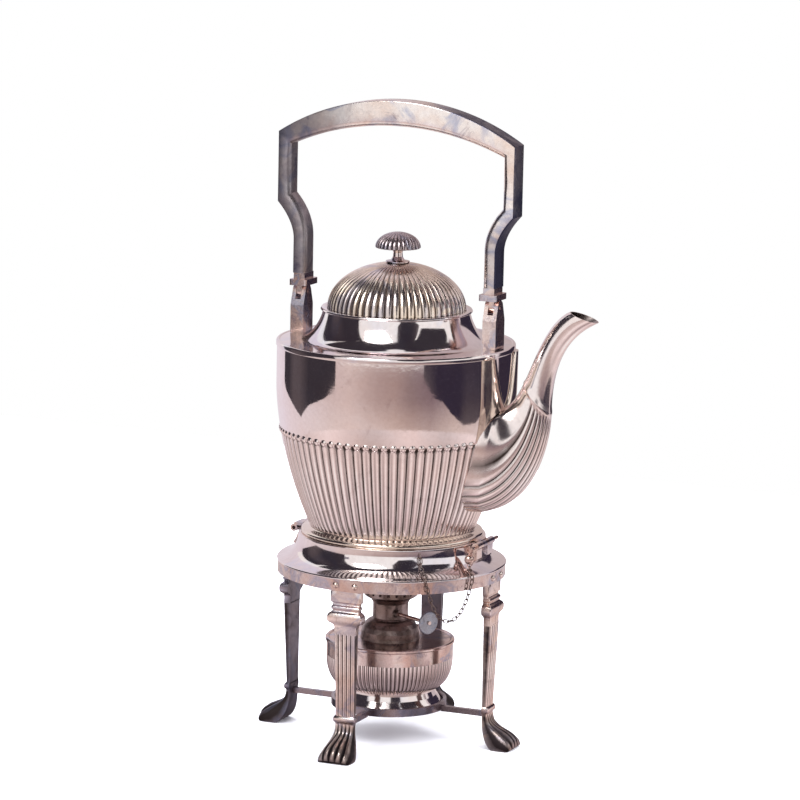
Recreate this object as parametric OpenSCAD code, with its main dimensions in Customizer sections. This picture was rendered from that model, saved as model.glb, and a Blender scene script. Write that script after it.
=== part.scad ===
// Spirit kettle on a four-legged burner stand, in millimetres.
// +X is the way the spout points, +Z is up, and the four feet stand on Z = 0
// round the axis of the stand. The near side, where the hinge pin goes in, is -Y.

/* [Stand ring] */
// How far the shelf's edge stands out beyond the collar
shelf_out = 12.4; // [8:0.1:20]
// Height of the top of the shelf's outer edge
shelf_z = 105.2; // [90:0.1:120]
// How far the upright collar stands out beyond the kettle's foot
collar_out = 1.3; // [0.5:0.1:4]
// Height of the collar's rim, where the kettle's foot sits
seat_z = 120.3; // [110:0.1:130]
// Width of the collar's rim, in to the open hole that lets the flame's heat through
rim_w = 6.9; // [6:0.1:9]
// Thickness of the spun sheet
sheet_t = 1.2; // [0.8:0.1:2]
// Height of the flat band under the shelf
band_h = 6.6; // [4:0.1:12]
// Distance from the shelf's edge in to the band's face
band_inset = 0.5; // [0:0.1:2]

/* [Legs] */
// Thickness of a leg's top behind the band
tab_t = 3.97; // [2.5:0.01:6]
// Half the width of the square pad at the top of a leg
pad_w = 9.3; // [7:0.1:12]
// Half the width of the shaft at its top
shaft_top_w = 6.5; // [5:0.1:9]
// Half the width of the shaft at its foot
shaft_low_w = 5.9; // [4:0.1:8]
// Half the width of the paw across its toes
paw_w = 11.5; // [8:0.1:15]
// How far the paw reaches out in front of the leg's back
paw_reach = 23; // [15:0.1:30]
// Height of the astragal where the stretcher bars join
astragal_z = 22.2; // [15:0.1:35]
// Convex flutes across the face of a leg
leg_flutes = 5; // [3:1:7]
// Depth of the grooves between a leg's flutes
leg_flute_d = 0.7; // [0.2:0.1:1.5]
// Angle from the middle of a leg to each of its two rivets
rivet_a = 5.15; // [3:0.05:7]
// Radius of a rivet's shank
rivet_r = 1.1; // [0.6:0.1:2]
// Radius of a rivet's round head
rivet_head_r = 1.9; // [1.2:0.1:3]

/* [Lamp hoop and bars] */
// Inner radius of the hoop that holds the lamp
hoop_in_r = 31.6; // [25:0.1:36]
// Thickness of the hoop's band
hoop_t = 2; // [1:0.1:4]
// Height of the hoop's lower edge
hoop_z = 18; // [10:0.1:30]
// Height of the hoop's band
hoop_h = 4.4; // [3:0.1:8]
// Width of the hoop's inner ledge
ledge_w = 2.6; // [1:0.1:5]
// Height of a stretcher bar
bar_h = 3.2; // [2:0.1:5]
// Thickness of a stretcher bar
bar_t = 3; // [2:0.1:5]

/* [Hinges to the stand] */
// Distance from the collar's face out to the hinge pin
pin_out = 2.9; // [2.5:0.1:6]
// Height of the hinge pin above the collar's rim, less than nothing when below it
pin_rise = -1.2; // [-4:0.1:4]
// Radius of the hinge pin
pin_r = 1.05; // [0.6:0.05:2]
// Outer radius of the hinge barrels
barrel_r = 2.2; // [1.6:0.1:4]
// Half the length of the kettle's middle barrel
mid_half = 4; // [2:0.1:8]
// Half the length of the whole hinge at the spout
hinge_half = 12.4; // [8:0.1:20]
// Length of each barrel at the rear
rear_len = 12; // [6:0.1:18]
// Thickness of the leaf that carries the stand's barrels
leaf_t = 1.4; // [0.8:0.1:2.5]
// Radius of the head of the hinge pin
pin_head_r = 2.3; // [1.5:0.1:4]
// How far the hinge pin stands out toward its head
pin_near = 7.5; // [2:0.1:12]
// How far the hinge pin stands out at its far end
pin_far = 8; // [2:0.1:12]
// Radius of the ball that hangs under the pin's head
ball_r = 2.8; // [1.5:0.1:4]

/* [Chain] */
// Distance from one link to the next
link_pitch = 3; // [2:0.1:5]
// Radius of the chain's wire
wire_r = 0.3; // [0.2:0.05:0.6]
// Outer width of a link
link_w = 2.5; // [2:0.1:4]
// Angle round the collar to the chain's staple
staple_a = -50; // [-70:1:-30]
// Angle round the shelf where the chain comes back up
chain_back_a = -24; // [-35:1:-15]
// How far the chain hangs below the shelf's edge
chain_sag = 24; // [10:0.5:40]

/* [Kettle body] */
// Radius of the kettle's upright upper wall
body_r = 68.4; // [60:0.1:80]
// Height of the kettle's foot
foot_h = 4.4; // [3:0.1:8]
// Height from the foot's underside to where the wall begins to draw in
taper_z = 87.5; // [70:0.5:95]
// Height from the foot's underside to the top of the wall
wall_z = 109.1; // [100:0.1:125]
// How much smaller the body's radius is at its foot
body_draw = 20.4; // [10:0.1:30]
// How sharply the wall draws in toward the foot
draw_power = 1.8; // [1.2:0.1:3]
// Thickness of the wall behind the reeds
wall_t = 1.2; // [0.8:0.1:2]
// Reeds round the lower body
body_reeds = 78; // [60:1:96]
// Depth of the grooves between the reeds
reed_d = 1.3; // [0.5:0.1:2]
// Height from the foot's underside to the row of beads
bead_z = 60.4; // [50:0.1:80]
// How far a bead stands out beyond its reed
bead_out = 0.7; // [0:0.1:1.5]
// Half the height of a bead
bead_h = 2.2; // [1:0.1:3]
// How far the foot's moulding stands out beyond the body's lower end
foot_out = 5; // [3:0.1:8]
// Reeds cut away behind the spout on each side of the middle
window_reeds = 3; // [2:1:4]
// Height of the passage to the spout above the body's lower end
window_z = 23; // [15:0.5:30]
// Height of the passage to the spout
window_h = 23; // [12:0.5:30]

/* [Shoulder and neck] */
// Width of the flat shoulder, from the wall in to the neck
shoulder_w = 13.9; // [10:0.1:20]
// How far the neck's sweep draws in
sweep_w = 12; // [8:0.1:18]
// Height of the neck above the flat of the shoulder
neck_h = 17.2; // [10:0.1:25]
// Roundness of the neck's sweep
sweep_power = 1.5; // [1.2:0.1:2.5]
// Height of the shoulder's turned edge
lip_h = 3.2; // [2:0.1:6]
// How far the shoulder's edge stands out from the wall
lip_out = 0.5; // [0:0.1:1.5]

/* [Spout] */
// Half the width of the spout where it joins the body
spout_root_w = 24.5; // [18:0.1:28]
// Half the width of the spout at its mouth
spout_mouth_w = 6.6; // [5:0.1:10]
// How fast the spout narrows from its root
spout_narrow = 3.2; // [2:0.1:5]
// Thickness of the spout's wall
spout_t = 1; // [0.6:0.1:2]
// Reeds across the under side of the spout
spout_reeds = 13; // [9:2:17]
// Depth of the grooves between the spout's reeds
spout_reed_d = 1; // [0.3:0.1:1.5]
// How far the spout's lower lip stands out from the body's upper wall
spout_out = 55.3; // [45:0.1:70]
// Height of the spout's waist above the kettle's seat
waist_h = 78; // [65:0.5:90]
// Height of the spout's upper lip above the kettle's seat
spout_top = 137.3; // [120:0.1:150]
// Thickness of the two horns above the spout's root
horn_t = 1.6; // [0.8:0.1:2.5]
// Half the width of the bare wall between the horns, at the shoulder
horn_gap = 13.8; // [10:0.1:18]
// Height above the kettle's seat from which the horns are cut
horn_z = 60; // [55:0.5:66]

/* [Lid] */
// How far the lid's flange stands out beyond the neck's rim
flange_out = 1.3; // [0.5:0.1:3]
// Thickness of the lid's flange
flange_t = 1.6; // [1:0.1:3]
// Width of the flange's flat outside the dome
flange_w = 3.9; // [2.5:0.1:6]
// Height of the dome above the flange
dome_h = 26.4; // [15:0.1:35]
// Thickness of the dome
dome_t = 1.1; // [0.8:0.1:2]
// Reeds round the lid
lid_reeds = 56; // [40:1:72]
// Depth of the grooves between the lid's reeds
lid_reed_d = 1.2; // [0.4:0.1:2]
// Depth of the bezel that drops inside the neck
bezel_h = 5.5; // [3:0.1:10]
// Distance from the neck's rim out to the lid's hinge pin
lid_pin_out = 4.9; // [4:0.1:8]
// Outer radius of the lid hinge's barrels
lid_barrel_r = 1.9; // [1.4:0.1:3]
// Radius of the lid's hinge pin
lid_pin_r = 0.9; // [0.5:0.05:1.5]
// Half the length of the lid's own barrel
lid_mid_half = 4; // [2:0.1:8]
// Half the length of the whole lid hinge
lid_hinge_half = 9; // [6:0.1:14]

/* [Finial] */
// Outer radius of the finial's cap
cap_r = 13.1; // [9:0.1:18]
// Height of the finial's cap
cap_h = 9.4; // [6:0.1:14]
// Convex flutes round the finial's cap
cap_reeds = 26; // [16:1:36]
// Depth of the grooves in the cap
cap_reed_d = 0.8; // [0.2:0.1:1.5]
// Radius of the finial's stem
stem_r = 2.9; // [1.5:0.1:5]
// Length of the stem between the lid and the cap
stem_h = 8; // [4:0.1:14]

/* [Bail handle] */
// Distance from the body's wall in to the middle of each post
post_in = 8.4; // [5:0.1:9]
// Thickness of a post across the bail
post_t = 8.2; // [6:0.1:12]
// Half the breadth of a post
post_w = 6.6; // [4:0.1:10]
// Height of the bail's pivots above the shoulder
pivot_h = 24; // [18:0.1:35]
// Radius of the rounded ends that turn on the pivots
lug_r = 3.9; // [3:0.1:6]
// Thickness of the bail's tongue between a post's lugs
tongue_x = 3.2; // [2:0.1:5]
// Radius of the pivot pins
pivot_r = 1.2; // [0.8:0.1:2]
// Height of the collar on each ferrule
ferrule_h = 3.5; // [2:0.1:6]
// How far the collar stands out beyond the bar
ferrule_out = 1.5; // [0.5:0.1:3]
// Length of the narrow neck above the collar
ferrule_neck = 3.7; // [2:0.1:6]
// Thickness of the bail's bar at its foot
bar_x = 7.8; // [5:0.1:12]
// Half the breadth of the bail's bar
bail_w = 6.85; // [4:0.1:10]
// How far the outer face of the bail's upper uprights stands out beyond the posts' middle
bail_step = 13.4; // [6:0.1:22]
// Thickness of the upper uprights
upright_t = 7.4; // [5:0.1:12]
// Height from the pivots to the outward step of the bail
step_z = 52.1; // [40:0.1:65]
// Height of the curve that leads out to the step
step_h = 21; // [12:0.1:28]
// Height from the pivots to the outer top corners
corner_z = 92.7; // [80:0.1:110]
// Rise of the arch above its corners
arch_rise = 21.6; // [10:0.1:35]
// Height from the pivots to the inner top corners
inner_corner_z = 85.8; // [75:0.1:100]
// Rise of the arch's under side
inner_rise = 13.8; // [5:0.1:25]

/* [Spirit lamp] */
// Radius of the lamp's rim
lamp_r = 37.7; // [30:0.1:45]
// Height of the lamp's rim above the hoop's ledge
lamp_h = 38.8; // [30:0.1:50]
// Height of the lamp's flared foot
lamp_foot_h = 10; // [5:0.1:15]
// Radius of the lamp's foot at its foot
lamp_foot_r = 31.3; // [25:0.1:35]
// Radius of the bowl's underside
lamp_low_r = 27; // [20:0.1:32]
// Height of the plain band under the lamp's rim
lamp_band_h = 10; // [5:0.1:15]
// Reeds round the lamp
lamp_reeds = 88; // [60:1:96]
// Depth of the grooves between the lamp's reeds
lamp_reed_d = 0.8; // [0.3:0.1:1.5]
// Radius of the burner's neck
burner_r = 10.3; // [7:0.1:14]
// Radius of the burner's base on the cover
burner_base_r = 17; // [12:0.1:22]
// Height of the burner's base
burner_base_h = 12; // [8:0.1:16]
// Height of the burner's neck
burner_neck_h = 11; // [6:0.1:16]
// Radius of the burner's gallery
gallery_r = 15.4; // [12:0.1:20]
// Height of the burner's gallery
gallery_h = 7; // [4:0.1:10]
// Slots round the gallery
gallery_slots = 20; // [12:1:32]
// Width of the wick
wick_w = 10; // [6:0.1:14]
// Thickness of the wick
wick_t = 1.8; // [1:0.1:3]
// Wall of the wick's tube
wick_wall = 0.8; // [0.4:0.1:1.5]
// Angle round the lamp to the wick's winder
winder_a = -27; // [-60:1:60]
// Reach of the winder's shaft from the lamp's axis
winder_len = 40; // [38:0.5:46]
// Radius of the winder's shaft
winder_r = 1.1; // [0.8:0.1:2]
// Radius of the winder's disc
disc_r = 6.8; // [4:0.1:10]
// Thickness of the winder's disc
disc_t = 1.6; // [1:0.1:3]
// Radius of the toothed wheel that moves the wick
cog_r = 2.6; // [2.2:0.1:4]
// Width of the toothed wheel
cog_w = 3; // [2:0.1:5]

/* [Fits] */
// Running clearance of a pin or shaft in its bore, on the radius
run_fit = 0.05; // [0.02:0.01:0.1]
// Gap between soldered or seated pieces
seat_gap = 0.03; // [0.01:0.01:0.1]
// Gap between pieces that swing past each other
side_gap = 0.12; // [0.05:0.01:0.4]
// Gap over a seat that lifts off
rest_gap = 0.05; // [0.02:0.01:0.2]

/* [Hidden] */
$fn = 96;
eps = 0.01;

// Radii that follow from the kettle's body, from its foot out to the shelf
foot_r = body_r - body_draw + foot_out;
collar_r = foot_r + collar_out;
hole_r = collar_r - rim_w;
shelf_r = collar_r + shelf_out;

// Stand, worked out
band_r = shelf_r - band_inset;
band_top = shelf_z - sheet_t;
band_low = band_top - band_h;
tab_r = band_r - sheet_t - seat_gap;
leg_back_r = tab_r - tab_t;
rivet_z = band_low + band_h / 2;
hoop_out_r = hoop_in_r + hoop_t;
ledge_z = hoop_z + 1.2;
bar_z = hoop_z - 0.5;
pin_x = collar_r + pin_out;
pin_z = seat_z + pin_rise;

// Kettle, worked out
kettle_z = seat_z + rest_gap;
body_low = kettle_z + foot_h;
body_top = kettle_z + wall_z;
taper_top = kettle_z + taper_z;
bead_mid = kettle_z + bead_z;
shoulder_z = body_top + lip_h;
rim_z = shoulder_z + neck_h;
sweep_r = body_r - shoulder_w;
neck_r = sweep_r - sweep_w;
flange_r = neck_r + flange_out;
dome_r = flange_r - flange_w;
post_x = body_r - post_in;
bail_out = post_x + bail_step;
spout_reach = body_r + spout_out;
flange_z = rim_z + rest_gap;
dome_z = flange_z + flange_t;
lid_pin_y = neck_r + lid_pin_out;
lid_pin_z = flange_z;
pivot_z = shoulder_z + pivot_h;
ferrule_z = pivot_z + lug_r + side_gap;
neck_z = ferrule_z + ferrule_h;
bail_z = neck_z + ferrule_neck;
bar_mid = post_x - 0.9;

// Lamp, worked out
lamp_z = ledge_z + rest_gap;
lamp_top = lamp_z + lamp_h;
cover_z = lamp_top - 0.6;
band_in_r = lamp_r - 0.8;
bowl_low = lamp_z + lamp_foot_h;
reed_top = lamp_top - lamp_band_h;
neck_low = lamp_top + burner_base_h;
gallery_z = neck_low + burner_neck_h;
gallery_top = gallery_z + gallery_h;
winder_z = neck_low + 3.8;
wick_low = lamp_top - 12;
wick_top = gallery_top + 5;
tube_x = wick_w + 2 * (side_gap + wick_wall);
tube_y = wick_t + 2 * (side_gap + wick_wall);
cog_gap = 0.3;
winder_y = -wick_t / 2 - cog_gap - cog_r;

// Colours, as the tarnished plate shows them
plate = [0.80, 0.75, 0.72];
gilt = [0.78, 0.68, 0.50];
copper = [0.72, 0.56, 0.50];
dark = [0.42, 0.38, 0.42];
cotton = [0.93, 0.91, 0.85];

// Radius of the kettle's wall, over its reeds, at height z
function body_at(z) = body_r - body_draw
    * pow(max(0, taper_top - z) / (taper_top - body_low), draw_power);

// Power that keeps its sign
function spow(v, p) = sign(v) * pow(abs(v), p);

// Point at t on a cubic Bezier curve
function bez(p, t) = pow(1 - t, 3) * p[0] + 3 * t * pow(1 - t, 2) * p[1]
    + 3 * t * t * (1 - t) * p[2] + t * t * t * p[3];

// A ring of grooved points: every even point lies in a groove
function reeded_ring(r, d, z, n) = [for (c = [0:2 * n - 1])
    let (a = 180 * c / n, q = r - (c % 2 == 0 ? d : 0)) [q * cos(a), q * sin(a), z]];

// Two triangles between ring i and ring j at column c
function band(i, j, c, n) = let (e = (c + 1) % n)
    [[i * n + c, j * n + c, j * n + e], [i * n + c, j * n + e, i * n + e]];

// A skin through rings, closed at both ends by flat fans round a middle point
module capped_loft(rings) {
    n = len(rings[0]);
    m = len(rings);
    middle = function (k) [for (x = [0:2]) let (s = [for (p = rings[k]) p[x]])
        (min(s) + max(s)) / 2];
    pts = concat([for (r = rings) each r], [middle(0), middle(m - 1)]);
    sides = [for (i = [0:m - 2], c = [0:n - 1]) each band(i, i + 1, c, n)];
    low = [for (c = [0:n - 1]) [m * n, c, (c + 1) % n]];
    high = [for (c = [0:n - 1]) [m * n + 1, (m - 1) * n + (c + 1) % n, (m - 1) * n + c]];
    polyhedron(pts, concat(sides, low, high));
}

// A skin through rings that goes up outside and comes back down inside.
// cut = [outer row, outer row, inner row, inner row, columns each side of zero]
module shell_loft(rings, cut = []) {
    n = len(rings[0]);
    m = len(rings);
    has = len(cut) > 0;
    half = has ? cut[4] : 0;
    gone = function (i, c) has && (c < half || c >= n - half)
        && ((i >= cut[0] && i < cut[1]) || (i >= cut[2] && i < cut[3]));
    pts = [for (r = rings) each r];
    skin = [for (i = [0:m - 1], c = [0:n - 1]) if (!gone(i, c)) each band(i, (i + 1) % m, c, n)];
    cols = has ? [for (k = [-half:half - 1]) (k + n) % n] : [];
    sill = [for (c = cols) each band(cut[0], cut[3], c, n)];
    head = [for (c = cols) each band(cut[2], cut[1], c, n)];
    rows = has ? [for (i = [cut[0]:cut[1] - 1]) i] : [];
    inner = function (i) cut[3] - (i - cut[0]) * (cut[3] - cut[2]) / (cut[1] - cut[0]);
    jamb = [for (i = rows, side = [0, 1]) let (c = side == 0 ? half : n - half,
        a = i * n + c, b = (i + 1) * n + c, p = inner(i) * n + c, q = inner(i + 1) * n + c)
        each side == 0 ? [[a, q, b], [a, p, q]] : [[a, b, q], [a, q, p]]];
    polyhedron(pts, concat(skin, sill, head, jamb));
}

// A block with its corners rounded in plan
module soft_block(x, y, h, r) {
    linear_extrude(h) hull() for (i = [-1, 1], j = [-1, 1])
        translate([i * (x / 2 - r), j * (y / 2 - r)]) circle(r, $fn = 24);
}

// A bar along Y with its middle at the origin
module along_y(r, len) {
    rotate([90, 0, 0]) cylinder(r = r, h = len, center = true);
}

// Outer face of the collar and shelf, as [radius, height], from the collar's rim out
shelf_w = shelf_r - 0.5 - collar_r;
collar_h = seat_z - shelf_z;
shelf_curve = [[collar_r, seat_z], [collar_r, seat_z - 0.65 * collar_h],
    [collar_r + 0.4 * shelf_w, shelf_z + 0.15 * collar_h], [collar_r + shelf_w, shelf_z]];
function shelf_at(t, off = 0) = let (d = bez(shelf_curve, t + 0.01) - bez(shelf_curve, t - 0.01))
    bez(shelf_curve, t) + off * [-d[1], d[0]] / norm(d);

module stand_ring() color(plate) rotate_extrude() polygon(concat(
    [[hole_r, seat_z - sheet_t], [hole_r, seat_z]],
    [for (i = [0:12]) shelf_at(i / 12)],
    [[shelf_r, shelf_z - sheet_t / 2], [shelf_r - 0.2, band_top + eps]],
    [for (i = [12:-1:1]) shelf_at(i / 12, -sheet_t)],
    [[collar_r - sheet_t, seat_z - sheet_t]]));

// Everything within the shelf's outer face, grown by a gap
module within_shelf(gap) rotate_extrude() polygon(concat([[0, shelf_z], [0, 2 * seat_z],
    [collar_r + gap, 2 * seat_z]], [for (i = [0:12]) shelf_at(i / 12, gap)]));

module apron_band() color(copper) difference() {
    rotate_extrude() translate([band_r - sheet_t, band_low]) square([sheet_t, band_h - seat_gap]);
    rivets_at() translate([0, 0, band_r - 4]) cylinder(r = rivet_r + seat_gap, h = 8);
}

// Stands what it is given on end at each rivet, pointing outward
module rivets_at(legs = [0:3]) {
    for (k = legs, s = [-1, 1]) rotate([0, 0, 90 * k + s * rivet_a]) translate([0, 0, rivet_z])
        rotate([0, 90, 0]) children();
}

module leg_rivets() color(plate) rivets_at() {
    translate([0, 0, band_r + seat_gap]) intersection() {
        translate([0, 0, -0.8]) sphere(rivet_head_r + 0.2, $fn = 32);
        cylinder(r = rivet_head_r, h = 3);
    }
    translate([0, 0, leg_back_r - 1])
        cylinder(r = rivet_r, h = tab_t + sheet_t + 1 + 2 * seat_gap + eps);
    translate([0, 0, leg_back_r - 1.1]) cylinder(r = rivet_r + 0.5, h = 0.8);
}

// One station of a leg: back and front as [radius, height], half width, groove depth, roundness
function leg_ring(s) = let (b = s[0], f = s[1], w = s[2], g = s[3], q = s[4], n = 2 * leg_flutes)
    concat([[b[0], -w, b[1]], [b[0], w, b[1]]],
        [for (k = [n:-1:0]) let (u = 2 * k / n - 1, e = 1 - q * pow(abs(u), 3), d = k % 2 == 0 ? g : 0,
            v = f - b, l = norm(v), p = b + v * max(0.06, e - d / l)) [p[0], w * u, p[1]]]);

module leg() {
    b = leg_back_r;
    r = paw_reach;
    w = paw_w;
    a = astragal_z;
    top = band_low - 26;
    stations = [
        [[b, band_top - 0.6], [tab_r, band_top - 0.6], pad_w, 0, 0],
        [[b, band_low - 6.5], [tab_r, band_low - 6.5], pad_w, 0, 0],
        [[b, band_low - 9.2], [b + 4, band_low - 9.2], pad_w - 1.5, 0, 0.04],
        [[b, band_low - 11.3], [b + 4, band_low - 11.3], pad_w - 1.7, 0, 0.04],
        [[b, band_low - 13], [b + 5.3, band_low - 13], pad_w + 0.6, 0, 0.05],
        [[b, band_low - 15.6], [b + 6.2, band_low - 15.6], pad_w + 1.5, 0, 0.06],
        [[b, band_low - 18], [b + 5.9, band_low - 18], pad_w + 1.1, 0, 0.06],
        [[b, band_low - 20], [b + 4.8, band_low - 20], shaft_top_w + 0.6, 0, 0.06],
        [[b, top + 0.9], [b + 4.8, top + 0.9], shaft_top_w + 0.2, 0, 0.06],
        [[b, top], [b + 5, top], shaft_top_w, leg_flute_d, 0.1],
        [[b, a + 2.2], [b + 2.7, a + 2.2], shaft_low_w, leg_flute_d * 0.8, 0.15],
        [[b, a + 1.6], [b + 3.6, a + 1.6], shaft_low_w + 0.5, 0, 0.15],
        [[b, a], [b + 4, a], shaft_low_w + 0.8, 0, 0.15],
        [[b, a - 1.6], [b + 3.5, a - 1.6], shaft_low_w + 0.4, 0, 0.15],
        [[b, a - 2.4], [b + 2.9, a - 2.4], shaft_low_w, leg_flute_d * 0.8, 0.2],
        [[b + 0.2, a - 8], [b + 5, a - 7], shaft_low_w + 0.3, leg_flute_d, 0.25],
        [[b + 1, a - 14], [b + 9.2, a - 9.2], shaft_low_w + 1.7, leg_flute_d * 1.3, 0.3],
        [[b + 3, 3], [b + r * 0.6, a * 0.44], w * 0.8, leg_flute_d * 1.6, 0.35],
        [[b + 7.5, 0], [b + r * 0.78, a * 0.31], w * 0.94, leg_flute_d * 1.8, 0.35],
        [[b + r * 0.65, 0], [b + r * 0.94, a * 0.2], w, leg_flute_d * 1.8, 0.35],
        [[b + r * 0.88, 0], [b + r, a * 0.09], w * 0.93, leg_flute_d, 0.3]];
    difference() {
        capped_loft([for (s = stations) leg_ring(s)]);
        rotate_extrude() translate([tab_r, band_low - seat_gap]) square([6, 2 * band_h]);
        rivets_at([0]) translate([0, 0, leg_back_r - 2])
            cylinder(r = rivet_r + seat_gap, h = tab_t + 4, $fn = 24);
    }
}
module leg_spout() color(copper) leg();
module leg_far() color(copper) rotate([0, 0, 90]) leg();
module leg_rear() color(copper) rotate([0, 0, 180]) leg();
module leg_near() color(copper) rotate([0, 0, 270]) leg();

module lamp_hoop() color(dark) rotate_extrude() polygon([
    [hoop_in_r - ledge_w, hoop_z], [hoop_out_r, hoop_z], [hoop_out_r, hoop_z + hoop_h],
    [hoop_in_r, hoop_z + hoop_h], [hoop_in_r, ledge_z], [hoop_in_r - ledge_w, ledge_z]]);

// Stretcher bar from the hoop's outside to the flat back of a leg
module bar() difference() {
    translate([hoop_out_r - 2, -bar_t / 2, bar_z])
        cube([leg_back_r - seat_gap - hoop_out_r + 2, bar_t, bar_h]);
    translate([0, 0, bar_z - 1]) cylinder(r = hoop_out_r + seat_gap, h = bar_h + 2);
}
module bar_spout() color(dark) bar();
module bar_far() color(dark) rotate([0, 0, 90]) bar();
module bar_rear() color(dark) rotate([0, 0, 180]) bar();
module bar_near() color(dark) rotate([0, 0, 270]) bar();

// Leaf that lies on the outside of the collar, half angle a
module collar_leaf(a) rotate([0, 0, -a]) rotate_extrude(angle = 2 * a) polygon(concat(
    [for (i = [2:6]) shelf_at(i / 12, seat_gap)], [for (i = [6:-1:2]) shelf_at(i / 12, leaf_t)]));

// Barrel along Y between y0 and y1, with its bore
module barrel(y0, y1) difference() {
    translate([pin_x, (y0 + y1) / 2, pin_z]) along_y(barrel_r, y1 - y0);
    translate([pin_x, 0, pin_z]) along_y(pin_r + run_fit, 4 * hinge_half);
}

// Web that joins a stand barrel to its leaf on the collar
module barrel_web(y0, y1) difference() {
    translate([pin_x - barrel_r + 0.3, y0, seat_z - 8.5])
        cube([barrel_r + 0.6, y1 - y0, pin_z - seat_z + 8.5]);
    translate([pin_x, 0, pin_z]) along_y(pin_r + run_fit, 4 * hinge_half);
    within_shelf(seat_gap);
}

module lug_front() color(plate) {
    collar_leaf(12.5);
    for (s = [-1, 1]) let (a = mid_half + side_gap, y0 = s < 0 ? -hinge_half : a) {
        barrel(y0, y0 + hinge_half - a);
        barrel_web(y0, y0 + hinge_half - a);
    }
}

module lug_rear() color(plate) rotate([0, 0, 180]) {
    collar_leaf(12.5);
    barrel(-side_gap / 2 - rear_len, -side_gap / 2);
    barrel_web(-side_gap / 2 - rear_len, -side_gap / 2);
}

pin_head_y = -hinge_half - pin_near;
ball_z = pin_z - pin_head_r - ball_r - 0.5;
loop_r = 1.1;
loop_z = ball_z - ball_r - 0.7;
module hinge_pin() color(plate) {
    tip = hinge_half + pin_far;
    translate([pin_x, (tip + pin_head_y) / 2, pin_z]) along_y(pin_r, tip - pin_head_y);
    translate([pin_x, pin_head_y + eps, pin_z]) rotate([90, 0, 0]) rotate_extrude() polygon([
        [0, 0], [pin_head_r - 0.6, 0], [pin_head_r, 0.6], [pin_head_r, 1.6], [pin_head_r - 0.6, 2.2],
        [pin_head_r - 1.2, 2.2], [pin_head_r - 1.2, 1.2], [0, 1.2]]);
    translate([pin_x, pin_head_y - 1.1, 0]) {
        translate([0, 0, ball_z + ball_r - 0.4]) cylinder(r = 0.8, h = 1.6);
        translate([0, 0, ball_z]) sphere(ball_r, $fn = 48);
        translate([0, 0, loop_z]) rotate([90, 0, 0])
            rotate_extrude() translate([loop_r, 0]) circle(wire_r, $fn = 24);
    }
}

staple_r = 1.8;
module chain_staple() color(plate) rotate([0, 0, staple_a]) difference() {
    translate([collar_r + 0.9, 0, seat_z - 3.5]) rotate([90, 0, 0])
        rotate_extrude() translate([staple_r, 0]) circle(wire_r, $fn = 24);
    within_shelf(seat_gap);
}

// The chain lies down the shelf, hangs in a catenary below its edge and goes up to the pin
chain_off = link_w / 2 + 0.35;
strand_a = [for (i = [0:8]) let (p = shelf_at(0.17 + i * 0.83 / 8, chain_off))
    [p[0] * cos(staple_a), p[0] * sin(staple_a), p[1]]];
edge_r = shelf_r + chain_off;
edge_z = shelf_z - 0.5;
hang_a = [edge_r * cos(staple_a), edge_r * sin(staple_a), edge_z];
hang_b = [edge_r * cos(chain_back_a), edge_r * sin(chain_back_a), edge_z];
chain_end = [pin_x - 0.2, pin_head_y - 0.6, loop_z - loop_r];
over_r = edge_r - 1.6;
over_b = [over_r * cos(chain_back_a), over_r * sin(chain_back_a), shelf_z + chain_off + 0.5];
chord = norm(hang_b - hang_a);
function cosh(x) = (exp(x) + exp(-x)) / 2;
// Catenary size that gives the sag over the chord, by halving
function cat_size(lo, hi, n) = let (m = (lo + hi) / 2) n == 0 ? m
    : m * (cosh(chord / 2 / m) - 1) > chain_sag ? cat_size(m, hi, n - 1) : cat_size(lo, m, n - 1);
cat = cat_size(2, 100, 30);
hang = [for (i = [0:24]) let (f = i / 24, x = chord * (f - 0.5))
    hang_a + (hang_b - hang_a) * f - [0, 0, chain_sag - cat * (cosh(x / cat) - 1)]];
chain_way = concat(strand_a, hang, [over_b, chain_end]);
function marks_of(p, i = 0, s = 0) = i == len(p) - 1 ? [s]
    : concat([s], marks_of(p, i + 1, s + norm(p[i + 1] - p[i])));
marks = marks_of(chain_way);
way_len = marks[len(marks) - 1];
function way(s) = let (q = min(s, way_len - eps), k = [for (i = [0:len(marks) - 2])
    if (marks[i] <= q && q < marks[i + 1]) i][0])
    chain_way[k] + (chain_way[k + 1] - chain_way[k]) * (q - marks[k]) / (marks[k + 1] - marks[k]);

// One oval link along X, its middle at the origin, lying in the XY plane
module chain_link(pitch) {
    w = link_w / 2 - wire_r;
    half = pitch / 2 + 1.1 * wire_r - w;
    for (s = [0, 1]) rotate([0, 0, 180 * s]) {
        translate([half, 0, 0]) rotate([0, 0, -90]) rotate_extrude(angle = 180)
            translate([w, 0]) circle(wire_r, $fn = 24);
        translate([-half, w, 0]) rotate([0, 90, 0]) cylinder(r = wire_r, h = 2 * half, $fn = 24);
    }
}

module pin_chain() color(dark) {
    links = 2 * round(way_len / link_pitch / 2);
    step = way_len / links;
    for (i = [0:links - 1]) let (p = way(i * step), q = way((i + 1) * step), v = q - p,
        flat = norm([v[0], v[1]]), yaw = atan2(v[1], v[0]), tilt = -atan2(v[2], flat))
        translate((p + q) / 2) rotate([0, 0, yaw]) rotate([0, tilt, 0])
            rotate([90 * (i % 2), 0, 0]) chain_link(step);
}

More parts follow.
